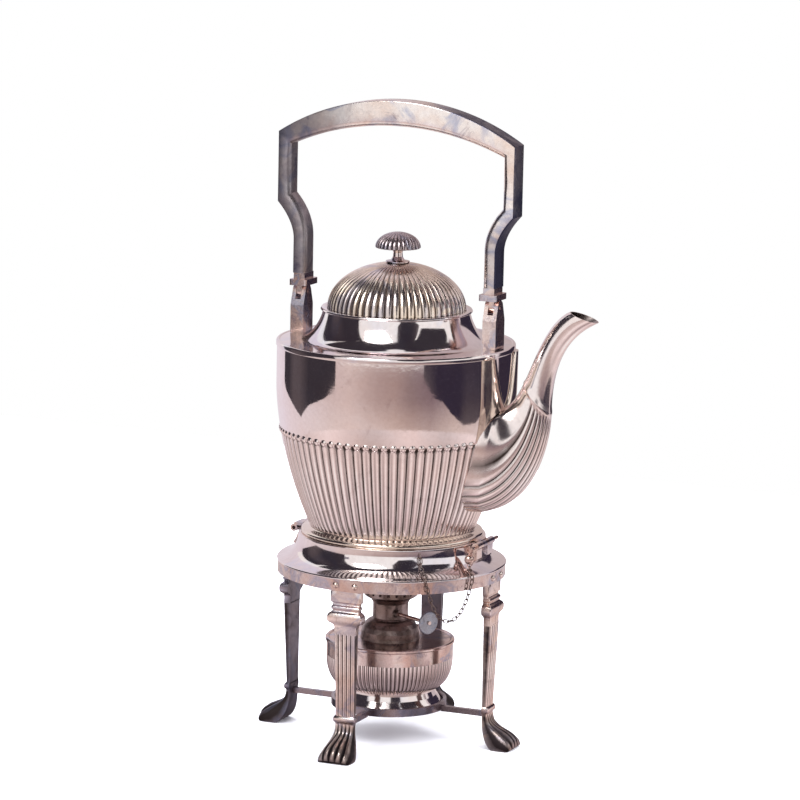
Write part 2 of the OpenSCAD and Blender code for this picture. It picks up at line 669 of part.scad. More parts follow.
// Kettle body: rings up the outside, over the rim and down the inside; the beads
// stop where the spout's root covers the wall
root_a = asin((spout_root_w + 2.5) / body_r);
module kettle_body() color(plate) {
    z0 = body_low + seat_gap;
    sill = body_low + window_z;
    head = sill + window_h;
    above = bead_mid + bead_h;
    top = body_top - seat_gap;
    n = body_reeds;
    in = reed_d + wall_t;
    beads = [for (p = reeded_ring(body_at(bead_mid), reed_d, bead_mid, n), a = [atan2(p[1], p[0])])
        abs(a) < root_a || norm([p[0], p[1]]) < body_at(bead_mid) - eps ? p
        : p + bead_out * [cos(a), sin(a), 0]];
    shell_loft([
        reeded_ring(body_at(z0), reed_d * 0.5, z0, n),
        reeded_ring(body_at(z0 + 10), reed_d, z0 + 10, n),
        reeded_ring(body_at(sill), reed_d, sill, n),
        reeded_ring(body_at(head), reed_d, head, n),
        reeded_ring(body_at(bead_mid - bead_h), reed_d, bead_mid - bead_h, n),
        beads,
        reeded_ring(body_at(above) - 0.2, 0, above, n),
        reeded_ring(body_r - 0.1, 0, taper_top, n),
        reeded_ring(body_r, 0, top, n),
        reeded_ring(body_r - wall_t, 0, top, n),
        reeded_ring(body_r - in, 0, taper_top - 6, n),
        reeded_ring(body_at(head) - in, 0, head, n),
        reeded_ring(body_at(sill) - in, 0, sill, n),
        reeded_ring(body_at(z0) - in, 0, z0, n)], [2, 3, 11, 12, 2 * window_reeds]);
}

module kettle_shoulder() color(plate) {
    n = 14;
    h = neck_h;
    w = sweep_r - neck_r;
    sweep = function (k, t) let (u = pow(sin(90 * k / n), 2 / sweep_power),
        v = pow(cos(90 * k / n), 2 / sweep_power))
        [sweep_r - w * v - t, shoulder_z + h * (1 - u) - (k == 0 ? 0 : t * k / n)];
    edge = body_r + lip_out;
    rotate_extrude() polygon(concat(
        [for (k = [0:n]) sweep(k, 0)],
        [[edge - 0.9, shoulder_z], [edge, shoulder_z - 0.9], [edge, body_top],
         [body_r - wall_t, body_top], [body_r - wall_t, shoulder_z - wall_t]],
        [for (k = [n:-1:0]) sweep(k, wall_t)]));
}

module kettle_foot() color(gilt) rotate_extrude() polygon([
    [hole_r + 0.6, kettle_z], [foot_r - 0.4, kettle_z], [foot_r, kettle_z + 0.9],
    [foot_r - 0.2, kettle_z + 1.9], [foot_r - 1.2, kettle_z + 2.7], [foot_r - 2.9, kettle_z + 3.2],
    [foot_r - 4.2, kettle_z + 3.8], [foot_r - 4.8, body_low], [hole_r - 2.6, body_low],
    [hole_r - 2.6, body_low - 1], [hole_r + 0.6, body_low - 1]]);

module kettle_base() color(plate) {
    r = hole_r + 0.6 - seat_gap;
    flat = hole_r - 3.5;
    z = body_low - 1 - seat_gap;
    rotate_extrude() polygon([[0, z - 0.3], [flat * 0.7, z - 0.6], [flat, z - 1.2], [r, z - 1.2], [r, z],
        [flat, z], [flat * 0.7, z + 0.6], [0, z + 0.9]]);
}

// Spout: upper and lower edges in the XZ plane, as Bezier curves from the body to the lip
lip_z = kettle_z + spout_top;
waist_x = spout_reach - 27.4;
waist_z = kettle_z + waist_h;
upper = [[body_r - 8.4, waist_z - 2.8], [body_r + 14.5, waist_z - 2.7], [spout_reach - 40.6, lip_z - 13],
    [spout_reach - 17.3, lip_z]];
waist = [waist_x, waist_z];
lower_a = [[body_r - 11.4, waist_z - 59.8], [body_r + 16, waist_z - 57.5],
    [waist_x + 0.6, waist_z - 20.1], waist];
lower_b = [waist, [waist_x, waist_z + 25.2], [spout_reach - 20.8, lip_z - 14.8],
    [spout_reach, lip_z - 5.3]];
function upper_at(u) = bez(upper, u < 0.5 ? 0.126 + 0.588 * u : 0.42 + 0.58 * (2 * u - 1));
function lower_at(u) = u < 0.5 ? bez(lower_a, 2 * u) : bez(lower_b, 2 * u - 1);
reed_end = 0.5;

// Ring of the spout at u, drawn in by t; g is the depth of the reeds there
function spout_ring(u, t, g) = let (a = upper_at(u), b = lower_at(u), mid = (a + b) / 2,
    arm = (b - a) / 2, l = norm(arm), dir = arm / l, wide = spout_mouth_w
        + (spout_root_w - spout_mouth_w) * pow(1 - u, spout_narrow),
    e = 0.6 + 0.4 * min(1, u / 0.35), n = 2 * spout_reeds, m = 10)
    [for (k = [0:n + m - 1]) let (f = k < n ? -90 + 180 * k / n : 90 + 180 * (k - n) / m,
        d = k < n && k % 2 == 0 && k > 0 ? g : 0, along = (l - t - d) * spow(cos(f), e),
        y = (wide - t - d) * spow(sin(f), e), p = mid + dir * along,
        x = u == 0 ? sqrt(pow(body_at(p[1]) + 0.06, 2) - y * y) : p[0]) [x, y, p[1]]];

module spout() color(plate) {
    out = [0, 0.06, 0.13, 0.22, 0.32, 0.42, reed_end - 0.01];
    plain = [reed_end, 0.58, 0.66, 0.74, 0.84, 1];
    back = [1, 0.78, 0.56, 0.36, 0.18, 0];
    shell_loft(concat(
        [for (u = out) spout_ring(u, 0, spout_reed_d * min(1, 4 * (u + 0.15)))],
        [for (u = plain) spout_ring(u, 0, 0)],
        [for (u = back) spout_ring(u, spout_t + (u < 0.5 ? spout_reed_d : 0.1), 0)]));
}

// Two horns that rise from the spout's root to the shoulder, with a shield of wall between
module spout_horns() color(gilt) intersection() {
    low = kettle_z + horn_z;
    top = body_top - seat_gap;
    zs = [for (k = [0:6]) low + (top - low) * k / 6];
    foot = [for (p = spout_ring(0, -horn_t / 2, 0)) if (p[2] > low + 4 * horn_t) [p[1], p[2] + 0.3]];
    tip = max([for (p = foot) p[1]]) + 1.5;
    side = [for (k = [0:8]) let (v = k / 8) [horn_gap * pow(v, 0.55), tip + (top - tip) * v]];
    out = spout_root_w + 0.6;
    rotate([0, 0, -40]) rotate_extrude(angle = 80) polygon(concat(
        [for (z = zs) [body_at(z) + 0.06, z]],
        [for (k = [6:-1:0]) [body_at(zs[k]) + horn_t, zs[k]]]));
    rotate([90, 0, 90]) linear_extrude(2 * body_r) polygon(concat(
        [[out, top + 5]], foot, [[-out, top + 5], [-horn_gap, top + 5]],
        [for (k = [8:-1:1]) [-side[k][0], side[k][1]]], side, [[horn_gap, top + 5]]));
}

// Tab and barrel on the kettle's foot, between y0 and y1
module kettle_knuckle(y0, y1) {
    barrel(y0, y1);
    difference() {
        translate([foot_r - 6, y0, kettle_z + 0.3]) cube([pin_x - foot_r + 6, y1 - y0, 1.6]);
        translate([pin_x, 0, pin_z]) along_y(pin_r + run_fit, 4 * hinge_half);
        cylinder(r = foot_r + seat_gap, h = 2 * seat_z);
    }
}
module knuckle_front() color(plate) kettle_knuckle(-mid_half, mid_half);
module knuckle_rear() color(plate) rotate([0, 0, 180])
    kettle_knuckle(side_gap / 2, side_gap / 2 + rear_len);

// Post with the two lugs that the bail's tongue turns between
module post() difference() {
    union() {
        translate([0, 0, shoulder_z + seat_gap]) linear_extrude(pivot_h - 7.6 - seat_gap)
            square([post_t, 2 * post_w], center = true);
        rotate([0, 90, 0]) linear_extrude(post_t, center = true) hull() {
            translate([-pivot_z, 0]) circle(lug_r, $fn = 64);
            translate([-pivot_z + 8.1, 0]) square([1, 2 * post_w], center = true);
        }
    }
    translate([0, 0, pivot_z]) cube([tongue_x + 2 * side_gap, 30, 2 * lug_r + 0.6], center = true);
    translate([0, 0, pivot_z]) rotate([0, 90, 0]) cylinder(r = pivot_r + seat_gap, h = 30, center = true);
}
module post_front() color(plate) translate([post_x, 0, 0]) post();
module post_rear() color(plate) translate([-post_x, 0, 0]) post();

module bail_pins() color(plate) for (s = [-1, 1]) translate([s * post_x, 0, pivot_z])
    rotate([0, 90, 0]) cylinder(r = pivot_r, h = post_t + 0.8, center = true);

// Leaf of the lid's hinge on the outside of the neck, and its two barrels
module lid_barrel(x0, x1) difference() {
    translate([(x0 + x1) / 2, lid_pin_y, lid_pin_z]) rotate([0, 90, 0])
        cylinder(r = lid_barrel_r, h = x1 - x0, center = true);
    translate([0, lid_pin_y, lid_pin_z]) rotate([0, 90, 0])
        cylinder(r = lid_pin_r + run_fit, h = 60, center = true);
}
module lid_hinge_lug() color(plate) {
    a = lid_mid_half + side_gap;
    for (x0 = [-lid_hinge_half, a]) {
        lid_barrel(x0, x0 + lid_hinge_half - a);
        difference() {
            translate([x0, neck_r - 4, rim_z - 8]) cube([lid_hinge_half - a, lid_pin_out + 4, 6.6]);
            rotate_extrude() polygon(concat([[0, rim_z - 10], [0, rim_z + 2], [neck_r + 0.1, rim_z + 2]],
                [for (k = [0:10]) neck_face(k)]));
            translate([0, lid_pin_y, lid_pin_z]) rotate([0, 90, 0])
                cylinder(r = lid_pin_r + run_fit, h = 60, center = true);
        }
    }
}
// Outside of the neck, a hair proud of it
function neck_face(k) = let (n = 14, w = sweep_r - neck_r,
    u = pow(sin(90 * k / n), 2 / sweep_power), v = pow(cos(90 * k / n), 2 / sweep_power))
    [sweep_r - w * v + 0.05, shoulder_z + neck_h * (1 - u) + 0.05];

module lid_hinge_pin() color(plate) translate([0, lid_pin_y, lid_pin_z]) rotate([0, 90, 0])
    cylinder(r = lid_pin_r, h = 2 * lid_hinge_half + 0.6, center = true);

module lid_dome() color(plate) {
    outer = [0, 10, 23, 38, 54, 69, 81];
    ring = function (a, t, d) reeded_ring((dome_r - t) * cos(a),
        d * cos(a), dome_z + seat_gap + (a == 0 ? 0 : (dome_h - t) * sin(a)), lid_reeds);
    t = dome_t + lid_reed_d;
    shell_loft(concat([for (a = outer) ring(a, 0, lid_reed_d)],
        [for (a = [80, 54, 27, 0]) ring(a, t, 0)]));
}

module lid_flange() color(plate) {
    r = neck_r - wall_t - 0.5;
    rotate_extrude() polygon([[r - 1, flange_z - bezel_h], [r, flange_z - bezel_h],
        [r, flange_z], [flange_r - 0.4, flange_z], [flange_r, flange_z + 0.6], [flange_r - 0.5, dome_z],
        [r - 1, dome_z]]);
}

module lid_hinge_leaf() color(plate) {
    lid_barrel(-lid_mid_half, lid_mid_half);
    difference() {
        translate([-lid_mid_half, flange_r - 4, flange_z + 0.3])
            cube([2 * lid_mid_half, lid_pin_y - flange_r + 4, 1.2]);
        cylinder(r = flange_r + seat_gap, h = 2 * flange_z);
        translate([0, lid_pin_y, lid_pin_z]) rotate([0, 90, 0])
            cylinder(r = lid_pin_r + run_fit, h = 60, center = true);
    }
}

// Finial: its stem passes through the dome's crown to a nut inside
crown_z = dome_z + seat_gap + dome_h;
crown_r = dome_r * cos(81);
cap_z = crown_z + stem_h;
module finial_stem() color(dark) rotate_extrude() polygon([
    [0, crown_z - 7], [1.6, crown_z - 7], [1.6, crown_z - 2.4], [crown_r - 1.2, crown_z - 2.4],
    [crown_r - 1.2, crown_z + 0.05], [crown_r + 0.6, crown_z + 0.05], [crown_r + 0.6, crown_z + 0.7],
    [4, crown_z + 1.2], [stem_r, crown_z + 3.2], [stem_r - 0.2, crown_z + 5.4], [stem_r + 0.6, cap_z],
    [1.8, cap_z], [1.8, cap_z + 3], [0, cap_z + 3]]);

module finial_cap() color(dark) difference() {
    capped_loft(concat(
        [reeded_ring(cap_r - 3, 0, cap_z + seat_gap, cap_reeds)],
        [for (a = [0, 22, 44, 66, 84]) reeded_ring(cap_r * cos(a), cap_reed_d * cos(a),
            cap_z + seat_gap + 0.5 + (cap_h - 0.5) * sin(a), cap_reeds)]));
    translate([0, 0, cap_z - 1]) cylinder(r = 1.8 + seat_gap, h = 4.1 + seat_gap, $fn = 48);
}

module finial_nut() color(plate) difference() {
    z = dome_z + (dome_h - dome_t - lid_reed_d) * sin(80) - 2.2;
    translate([0, 0, z]) cylinder(r = 8.4, h = 1.6, $fn = 6);
    translate([0, 0, z - 1]) cylinder(r = 1.6 + seat_gap, h = 6, $fn = 48);
}

// Height of an arc over x, with its ends at half on each side and its crown at rise
function arc_z(x, half, rise) = let (r = (half * half + rise * rise) / (2 * rise))
    rise - r + sqrt(r * r - x * x);
// A curve that leaves the foot upright and bends outward, from [x0, z0] to [x1, z1]
function bend(x0, z0, x1, z1, p) = [for (k = [0:8]) let (v = k / 8)
    [x0 + (x1 - x0) * pow(v, p), z0 + (z1 - z0) * v]];
function backward(p) = [for (k = [len(p) - 1:-1:0]) p[k]];
function flipped(p) = [for (q = p) [-q[0], q[1]]];
bail_in = bail_out - upright_t;
step_low = pivot_z + step_z - step_h;
outer_half = concat([[bar_mid + bar_x / 2, bail_z]],
    bend(bar_mid + bar_x / 2, step_low, bail_out, pivot_z + step_z, 1.9),
    [for (k = [0:11]) let (x = bail_out * (1 - k / 12))
        [x, pivot_z + corner_z + arc_z(x, bail_out, arch_rise)]]);
inner_half = concat([[bar_mid - bar_x / 2, bail_z]],
    bend(bar_mid - bar_x / 2, step_low, bail_in, pivot_z + step_z + 4.8, 2.2),
    [for (k = [0:11]) let (x = bail_in * (1 - k / 12))
        [x, pivot_z + inner_corner_z + arc_z(x, bail_in, inner_rise)]]);
module bail() color(dark) rotate([90, 0, 0]) linear_extrude(2 * bail_w, center = true)
    polygon(concat(outer_half, [[0, pivot_z + corner_z + arch_rise]], backward(flipped(outer_half)),
        flipped(inner_half), [[0, pivot_z + inner_corner_z + inner_rise]], backward(inner_half)));

// Ferrule: neck, collar and the tongue that turns on the pivot
module ferrule() {
    translate([bar_mid - post_x, 0, neck_z - eps]) linear_extrude(ferrule_neck - seat_gap)
        square([bar_x - 1, 2 * bail_w - 1], center = true);
    translate([bar_mid - post_x, 0, ferrule_z])
        soft_block(bar_x + 2 * ferrule_out, 2 * (bail_w + ferrule_out), ferrule_h, 1.2);
    difference() {
        rotate([0, 90, 0]) linear_extrude(tongue_x, center = true) union() {
            translate([-pivot_z, 0]) circle(lug_r - 0.1, $fn = 64);
            translate([-ferrule_z - 1, -lug_r + 0.1]) square([ferrule_z + 1 - pivot_z, 2 * lug_r - 0.2]);
        }
        translate([0, 0, pivot_z]) rotate([0, 90, 0])
            cylinder(r = pivot_r + run_fit, h = 30, center = true);
    }
}
module ferrule_front() color(dark) translate([post_x, 0, 0]) ferrule();
module ferrule_rear() color(dark) mirror([1, 0, 0]) translate([post_x, 0, 0]) ferrule();

// Radius of the lamp's bowl at height z
function lamp_at(z) = let (v = max(0, reed_top - z) / (reed_top - bowl_low))
    lamp_low_r + (band_in_r - lamp_low_r) * pow(max(0, 1 - pow(v, 2.4)), 0.62);
module lamp_bowl() color(plate) {
    z = function (k) reed_top - seat_gap - (reed_top - bowl_low - 2 * seat_gap) * k;
    ring = function (k, t, d) reeded_ring(lamp_at(z(k)) - t, d, z(k) + (k == 1 ? t : 0), lamp_reeds);
    capped_loft(concat([for (k = [1, 0.88, 0.62, 0.3, 0]) ring(k, 0, lamp_reed_d * (k == 1 ? 0.3 : 1))],
        [for (k = [0, 0.62, 1]) ring(k, lamp_reed_d + 1, 0)]));
}

module lamp_foot() color(plate) rotate_extrude() polygon([
    [lamp_foot_r - 4.5, lamp_z], [lamp_foot_r - 0.5, lamp_z], [lamp_foot_r, lamp_z + 0.6],
    [lamp_foot_r - 0.2, lamp_z + 1.6], [lamp_foot_r - 1.6, lamp_z + 3.6], [lamp_foot_r - 3.4, lamp_z + 6],
    [lamp_low_r - 0.4, bowl_low - 1.2], [lamp_low_r - 0.6, bowl_low], [lamp_low_r - 3, bowl_low],
    [lamp_low_r - 3, bowl_low - 1.4], [lamp_foot_r - 6, lamp_z + 4]]);

// The lamp's cover, with the plain band as its skirt
module lamp_cover() color(copper) difference() {
    rotate_extrude() polygon([[band_in_r - 1.2, reed_top], [band_in_r, reed_top],
        [band_in_r, lamp_top - 2.2], [lamp_r, lamp_top - 1.6], [lamp_r, lamp_top - 0.5],
        [lamp_r - 0.5, lamp_top], [lamp_r - 1.8, lamp_top], [lamp_r - 2.6, cover_z], [0, cover_z],
        [0, cover_z - 1.2], [lamp_r - 3.4, cover_z - 1.2], [band_in_r - 1.2, lamp_top - 2.6]]);
    passage(seat_gap);
}

// Burner, in the lamp's own direction: the wick's flat lies along the winder's shaft
module burner_turn() rotate([0, 0, winder_a]) children();

// Straight way up through the burner for the wick's tube
module passage(gap) burner_turn() linear_extrude(2 * gallery_top)
    square([tube_x + 2 * gap, tube_y + 2 * gap], center = true);

module burner_neck() color(dark) difference() {
    w = burner_base_r - burner_r;
    base = [for (k = [0:5]) let (a = 17 * k) [burner_r + w * cos(a),
        lamp_top + 1 + (burner_base_h - 2) * sin(a)]];
    union() {
        rotate_extrude() polygon(concat([[burner_base_r - 1.2, cover_z + seat_gap],
            [burner_base_r + 0.4, cover_z + seat_gap]], base,
            [[burner_r, neck_low], [burner_r, gallery_z - 2.5], [burner_r + 1.4, gallery_z - seat_gap],
             [burner_r - 1.2, gallery_z - seat_gap], [burner_r - 1.2, neck_low]],
            [for (k = [5:-1:0]) base[k] - [1.2, 0.8]]));
        burner_turn() translate([burner_r - 0.9, winder_y, winder_z]) rotate([0, 90, 0])
            cylinder(r = winder_r + 1.2, h = 3.4);
    }
    burner_turn() translate([0, winder_y, winder_z]) rotate([0, 90, 0])
        cylinder(r = winder_r + run_fit, h = winder_len);
}

module burner_gallery() color(dark) difference() {
    rotate_extrude() polygon([[0, gallery_z], [burner_r + 1.4, gallery_z],
        [gallery_r - 1.2, gallery_z + 1.2], [gallery_r, gallery_z + 2], [gallery_r, gallery_top - 0.8],
        [gallery_r - 0.8, gallery_top], [gallery_r - 1.6, gallery_top], [gallery_r - 1.6, gallery_z + 2.2],
        [0, gallery_z + 2.2]]);
    passage(seat_gap);
    for (k = [0:gallery_slots - 1]) rotate([0, 0, 360 * k / gallery_slots])
        translate([gallery_r - 4, -0.8, gallery_z + 3.2]) cube([8, 1.6, 2.6]);
}

// Flat tube that guides the wick, open on one face where the cog reaches in
module wick_tube() color(copper) burner_turn() difference() {
    translate([0, 0, cover_z - 5]) linear_extrude(gallery_top + 2 - cover_z + 5) difference() {
        square([tube_x, tube_y], center = true);
        square([wick_w + 2 * side_gap, wick_t + 2 * side_gap], center = true);
    }
    translate([-cog_w / 2 - 0.5, -tube_y, winder_z - cog_r - 0.5]) cube([cog_w + 1, tube_y, 2 * cog_r + 1]);
}

// Winder: shaft, finger disc and the cog that moves the wick
module at_winder(x) burner_turn() translate([x, winder_y, winder_z]) rotate([0, 90, 0]) children();
module winder_shaft() color(plate) at_winder(-cog_w) cylinder(r = winder_r, h = winder_len + cog_w);
module winder_disc() color(plate) at_winder(winder_len - disc_t - 0.8) difference() {
    rotate_extrude() polygon([[0, 0], [disc_r - 0.5, 0], [disc_r, 0.4], [disc_r, disc_t - 0.4],
        [disc_r - 0.5, disc_t], [0, disc_t]]);
    translate([0, 0, -1]) cylinder(r = winder_r + eps, h = disc_t + 2);
}
module winder_cog() color(dark) at_winder(-cog_w / 2) difference() {
    teeth = 10;
    linear_extrude(cog_w) polygon([for (k = [0:4 * teeth - 1]) let (a = 90 * (k + 0.5) / teeth,
        r = cog_r - (k % 4 < 2 ? 0 : 0.6)) [r * cos(a), r * sin(a)]]);
    translate([0, 0, -1]) cylinder(r = winder_r + seat_gap, h = cog_w + 2);
}

module wick() color(cotton) burner_turn() translate([-wick_w / 2, -wick_t / 2, wick_low])
    cube([wick_w, wick_t, wick_top - wick_low]);

stand_ring();
apron_band();
leg_spout();
leg_far();
leg_rear();
leg_near();
leg_rivets();
lamp_hoop();
bar_spout();
bar_far();
bar_rear();
bar_near();
lug_front();
lug_rear();
hinge_pin();
chain_staple();
pin_chain();
kettle_body();
kettle_shoulder();
kettle_foot();
kettle_base();
spout();
spout_horns();
knuckle_front();
knuckle_rear();
post_front();
post_rear();
bail_pins();
lid_hinge_lug();
lid_hinge_pin();
lid_dome();
lid_flange();
lid_hinge_leaf();
finial_stem();
finial_cap();
finial_nut();
bail();
ferrule_front();
ferrule_rear();
lamp_bowl();
lamp_foot();
lamp_cover();
burner_neck();
burner_gallery();
wick_tube();
winder_shaft();
winder_disc();
winder_cog();
wick();
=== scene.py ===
import bpy, math
from mathutils import Matrix, Vector


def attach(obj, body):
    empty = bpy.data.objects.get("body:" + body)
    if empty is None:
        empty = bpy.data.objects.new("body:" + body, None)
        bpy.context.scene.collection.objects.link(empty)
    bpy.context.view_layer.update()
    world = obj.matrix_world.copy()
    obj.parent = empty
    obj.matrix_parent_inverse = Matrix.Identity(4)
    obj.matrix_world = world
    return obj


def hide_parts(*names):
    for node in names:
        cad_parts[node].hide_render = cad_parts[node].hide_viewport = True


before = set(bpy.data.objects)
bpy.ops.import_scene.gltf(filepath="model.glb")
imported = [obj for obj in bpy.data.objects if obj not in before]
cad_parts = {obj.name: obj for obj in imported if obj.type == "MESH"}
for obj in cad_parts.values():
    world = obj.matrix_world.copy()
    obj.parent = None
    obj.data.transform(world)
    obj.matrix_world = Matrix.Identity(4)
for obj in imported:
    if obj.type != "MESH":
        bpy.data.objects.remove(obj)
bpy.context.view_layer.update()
MM = 0.001
TAU = 2 * math.pi
scene = bpy.context.scene

# camera
PSI, PITCH, ROLL = math.radians(23.2), math.radians(9.96), math.radians(1.19)
VX, VD, VZ = 2.94, 2382.9, 616.1        # where it stands: sideways, away and up, in mm
FOCAL_PX, WIDTH_PX, SENSOR = 4200.0, 800, 36
c, s = math.cos(PSI), math.sin(PSI)
HEADING = math.atan2(-c, s)             # from the object towards the camera, seen from above
right = Vector((c, s, 0))
ahead = Vector((-s * math.cos(PITCH), c * math.cos(PITCH), -math.sin(PITCH)))
up = Vector((-s * math.sin(PITCH), c * math.sin(PITCH), math.cos(PITCH)))
cam_right = right * math.cos(ROLL) + up * math.sin(ROLL)
cam_up = up * math.cos(ROLL) - right * math.sin(ROLL)
camera = bpy.data.objects.new("camera", bpy.data.cameras.new("camera"))
scene.collection.objects.link(camera)
camera.matrix_world = Matrix((
    (cam_right.x, cam_up.x, -ahead.x, (c * VX + s * VD) * MM),
    (cam_right.y, cam_up.y, -ahead.y, (s * VX - c * VD) * MM),
    (cam_right.z, cam_up.z, -ahead.z, VZ * MM), (0, 0, 0, 1)))
camera.data.sensor_width = SENSOR
camera.data.sensor_fit = "HORIZONTAL"
camera.data.lens = FOCAL_PX * SENSOR / WIDTH_PX
camera.data.clip_end = 20
scene.camera = camera
scene.view_settings.view_transform = "Standard"


# materials
class Nodes:
    """A short way to write a node tree."""
    def __init__(self, tree):
        self.tree = tree
        tree.nodes.clear()

    def add(self, kind, ins=None, **props):
        n = self.tree.nodes.new(kind)
        for k, v in props.items():
            setattr(n, k, v)
        for k, v in (ins or {}).items():
            if hasattr(v, "is_output"):
                self.tree.links.new(v, n.inputs[k])
            else:
                n.inputs[k].default_value = v
        return n

    def noise(self, where, scale, detail, rough, distort=0.0):
        return self.add("ShaderNodeTexNoise", {
            "Vector": where, "Scale": scale, "Detail": detail,
            "Roughness": rough, "Distortion": distort}).outputs["Fac"]

    def ramp(self, fac, *stops):
        n = self.add("ShaderNodeValToRGB", {"Fac": fac})
        e = n.color_ramp.elements
        while len(e) < len(stops):
            e.new(0.5)
        for el, (p, v) in zip(e, stops):
            el.position = p
            el.color = (v, v, v, 1)
        return n.outputs["Color"]

    def mix(self, fac, a, b):
        """One colour laid over another; each is a socket or three numbers."""
        a, b = (v if hasattr(v, "is_output") else (*v, 1) for v in (a, b))
        return self.add("ShaderNodeMix", {0: fac, 6: a, 7: b}, data_type="RGBA").outputs[2]

    def math(self, op, a, b):
        return self.add("ShaderNodeMath", {0: a, 1: b}, operation=op).outputs[0]

    def bump(self, strength, distance, height):
        return self.add("ShaderNodeBump", {
            "Strength": strength, "Distance": distance, "Height": height}).outputs["Normal"]

    def finish(self, shader):
        self.add("ShaderNodeOutputMaterial", {"Surface": shader.outputs[0]})


def new_material(name):
    """A material and the nodes in it, still empty."""
    m = bpy.data.materials.new(name)
    m.use_nodes = True
    return m, Nodes(m.node_tree)


def plate(name, silver, warm, stain_and_shade, warm_at, stain_at, rough, scale,
          cavity=(0.05, 0.04, 0.04), blue=None, bump=0.06):
    """Old silver plate: patches of warm tarnish, darker stains, dirt and painted shade in the grooves.

    The mesh attributes "cavity" and "polish" say where the dirt and the painted shade lie and where the
    metal is smoothest.
    """
    m, t = new_material(name)
    at = t.add("ShaderNodeTexCoord").outputs["Object"]
    big = t.noise(at, scale, 5, 0.6, 0.4)
    mid = t.noise(at, scale * 2.7, 6, 0.65, 0.8)
    fine = t.noise(at, scale * 22, 4, 0.6)
    colour = t.mix(t.ramp(big, (warm_at - 0.12, 0.0), (warm_at + 0.14, 1.0)), silver, warm)
    stained = t.ramp(mid, (stain_at - 0.05, 0.0), (stain_at + 0.12, 1.0))
    colour = t.mix(t.math("MULTIPLY", stained, 0.85), colour, stain_and_shade)
    if blue:
        sheen = t.noise(at, scale * 1.3, 3, 0.5, 1.2)
        bluish = t.ramp(sheen, (0.52, 0.0), (0.62, 1.0), (0.7, 0.0))
        colour = t.mix(t.math("MULTIPLY", bluish, 0.75), colour, blue)
    colour = t.mix(t.math("MULTIPLY", t.ramp(fine, (0.35, 0.0), (0.8, 1.0)), 0.25), colour, stain_and_shade)
    # The cavity attribute darkens towards the cavity colour: dirt and painted shade in grooves, painted
    # shade on insides and on the bail.
    groove = t.add("ShaderNodeAttribute", attribute_name="cavity").outputs["Fac"]
    dirt_and_shade = t.math("MULTIPLY", groove, t.math("ADD", 0.6, t.math("MULTIPLY", mid, 0.7)))
    colour = t.mix(t.ramp(dirt_and_shade, (0.12, 0.0), (0.85, 1.0)), colour, cavity)
    r = t.add("ShaderNodeMapRange", {"Value": mid, "From Min": 0.3, "From Max": 0.7,
                                     "To Min": rough[0], "To Max": rough[1]}).outputs["Result"]
    r = t.math("ADD", r, t.math("MULTIPLY", dirt_and_shade, 0.35))
    shine = t.add("ShaderNodeAttribute", attribute_name="polish").outputs["Fac"]
    r = t.math("MULTIPLY", r, t.math("SUBTRACT", 1.0, t.math("MULTIPLY", shine, 0.62)))
    scratch = t.add("ShaderNodeMapping", {"Vector": at, "Scale": (260.0, 900.0, 120.0)})
    lines = t.noise(scratch.outputs["Vector"], 1.0, 2, 0.5)
    height = t.math("ADD", t.math("MULTIPLY", fine, 0.6), t.math("MULTIPLY", lines, 0.4))
    t.finish(t.add("ShaderNodeBsdfPrincipled", {
        "Base Color": colour, "Metallic": 1.0, "Roughness": r, "Normal": t.bump(bump, 0.0004, height)}))
    return m


SILVER = plate("silver_plate", (0.90, 0.83, 0.82), (0.82, 0.70, 0.67), (0.60, 0.49, 0.47),
               0.52, 0.68, (0.05, 0.13), 16.0, blue=(0.74, 0.72, 0.80), bump=0.03)
REEDED = plate("reeded_plate", (0.91, 0.83, 0.82), (0.88, 0.75, 0.71), (0.60, 0.48, 0.46),
               0.50, 0.64, (0.10, 0.20), 20.0, cavity=(0.055, 0.04, 0.035), bump=0.04)
LID = plate("lid_plate", (0.96, 0.86, 0.79), (0.90, 0.73, 0.58), (0.50, 0.38, 0.32),
            0.50, 0.62, (0.12, 0.26), 30.0, cavity=(0.085, 0.052, 0.034), blue=(0.50, 0.47, 0.56))
GILT = plate("worn_gilt_plate", (0.90, 0.80, 0.73), (0.84, 0.70, 0.58), (0.50, 0.40, 0.34),
             0.48, 0.62, (0.08, 0.2), 26.0)
ROSE = plate("rose_tarnished_plate", (0.92, 0.82, 0.78), (0.84, 0.64, 0.55), (0.38, 0.28, 0.28),
             0.50, 0.60, (0.12, 0.28), 34.0, cavity=(0.045, 0.035, 0.038), blue=(0.50, 0.48, 0.58),
             bump=0.08)
# A darker copy of the rose plate: painted shade and dark reflections for the far and rear legs.
ROSE_PAINTED_SHADE = plate("shaded_leg_plate", (0.40, 0.40, 0.50), (0.36, 0.31, 0.36), (0.15, 0.14, 0.19),
             0.50, 0.58, (0.14, 0.30), 34.0, blue=(0.28, 0.33, 0.50), bump=0.08)
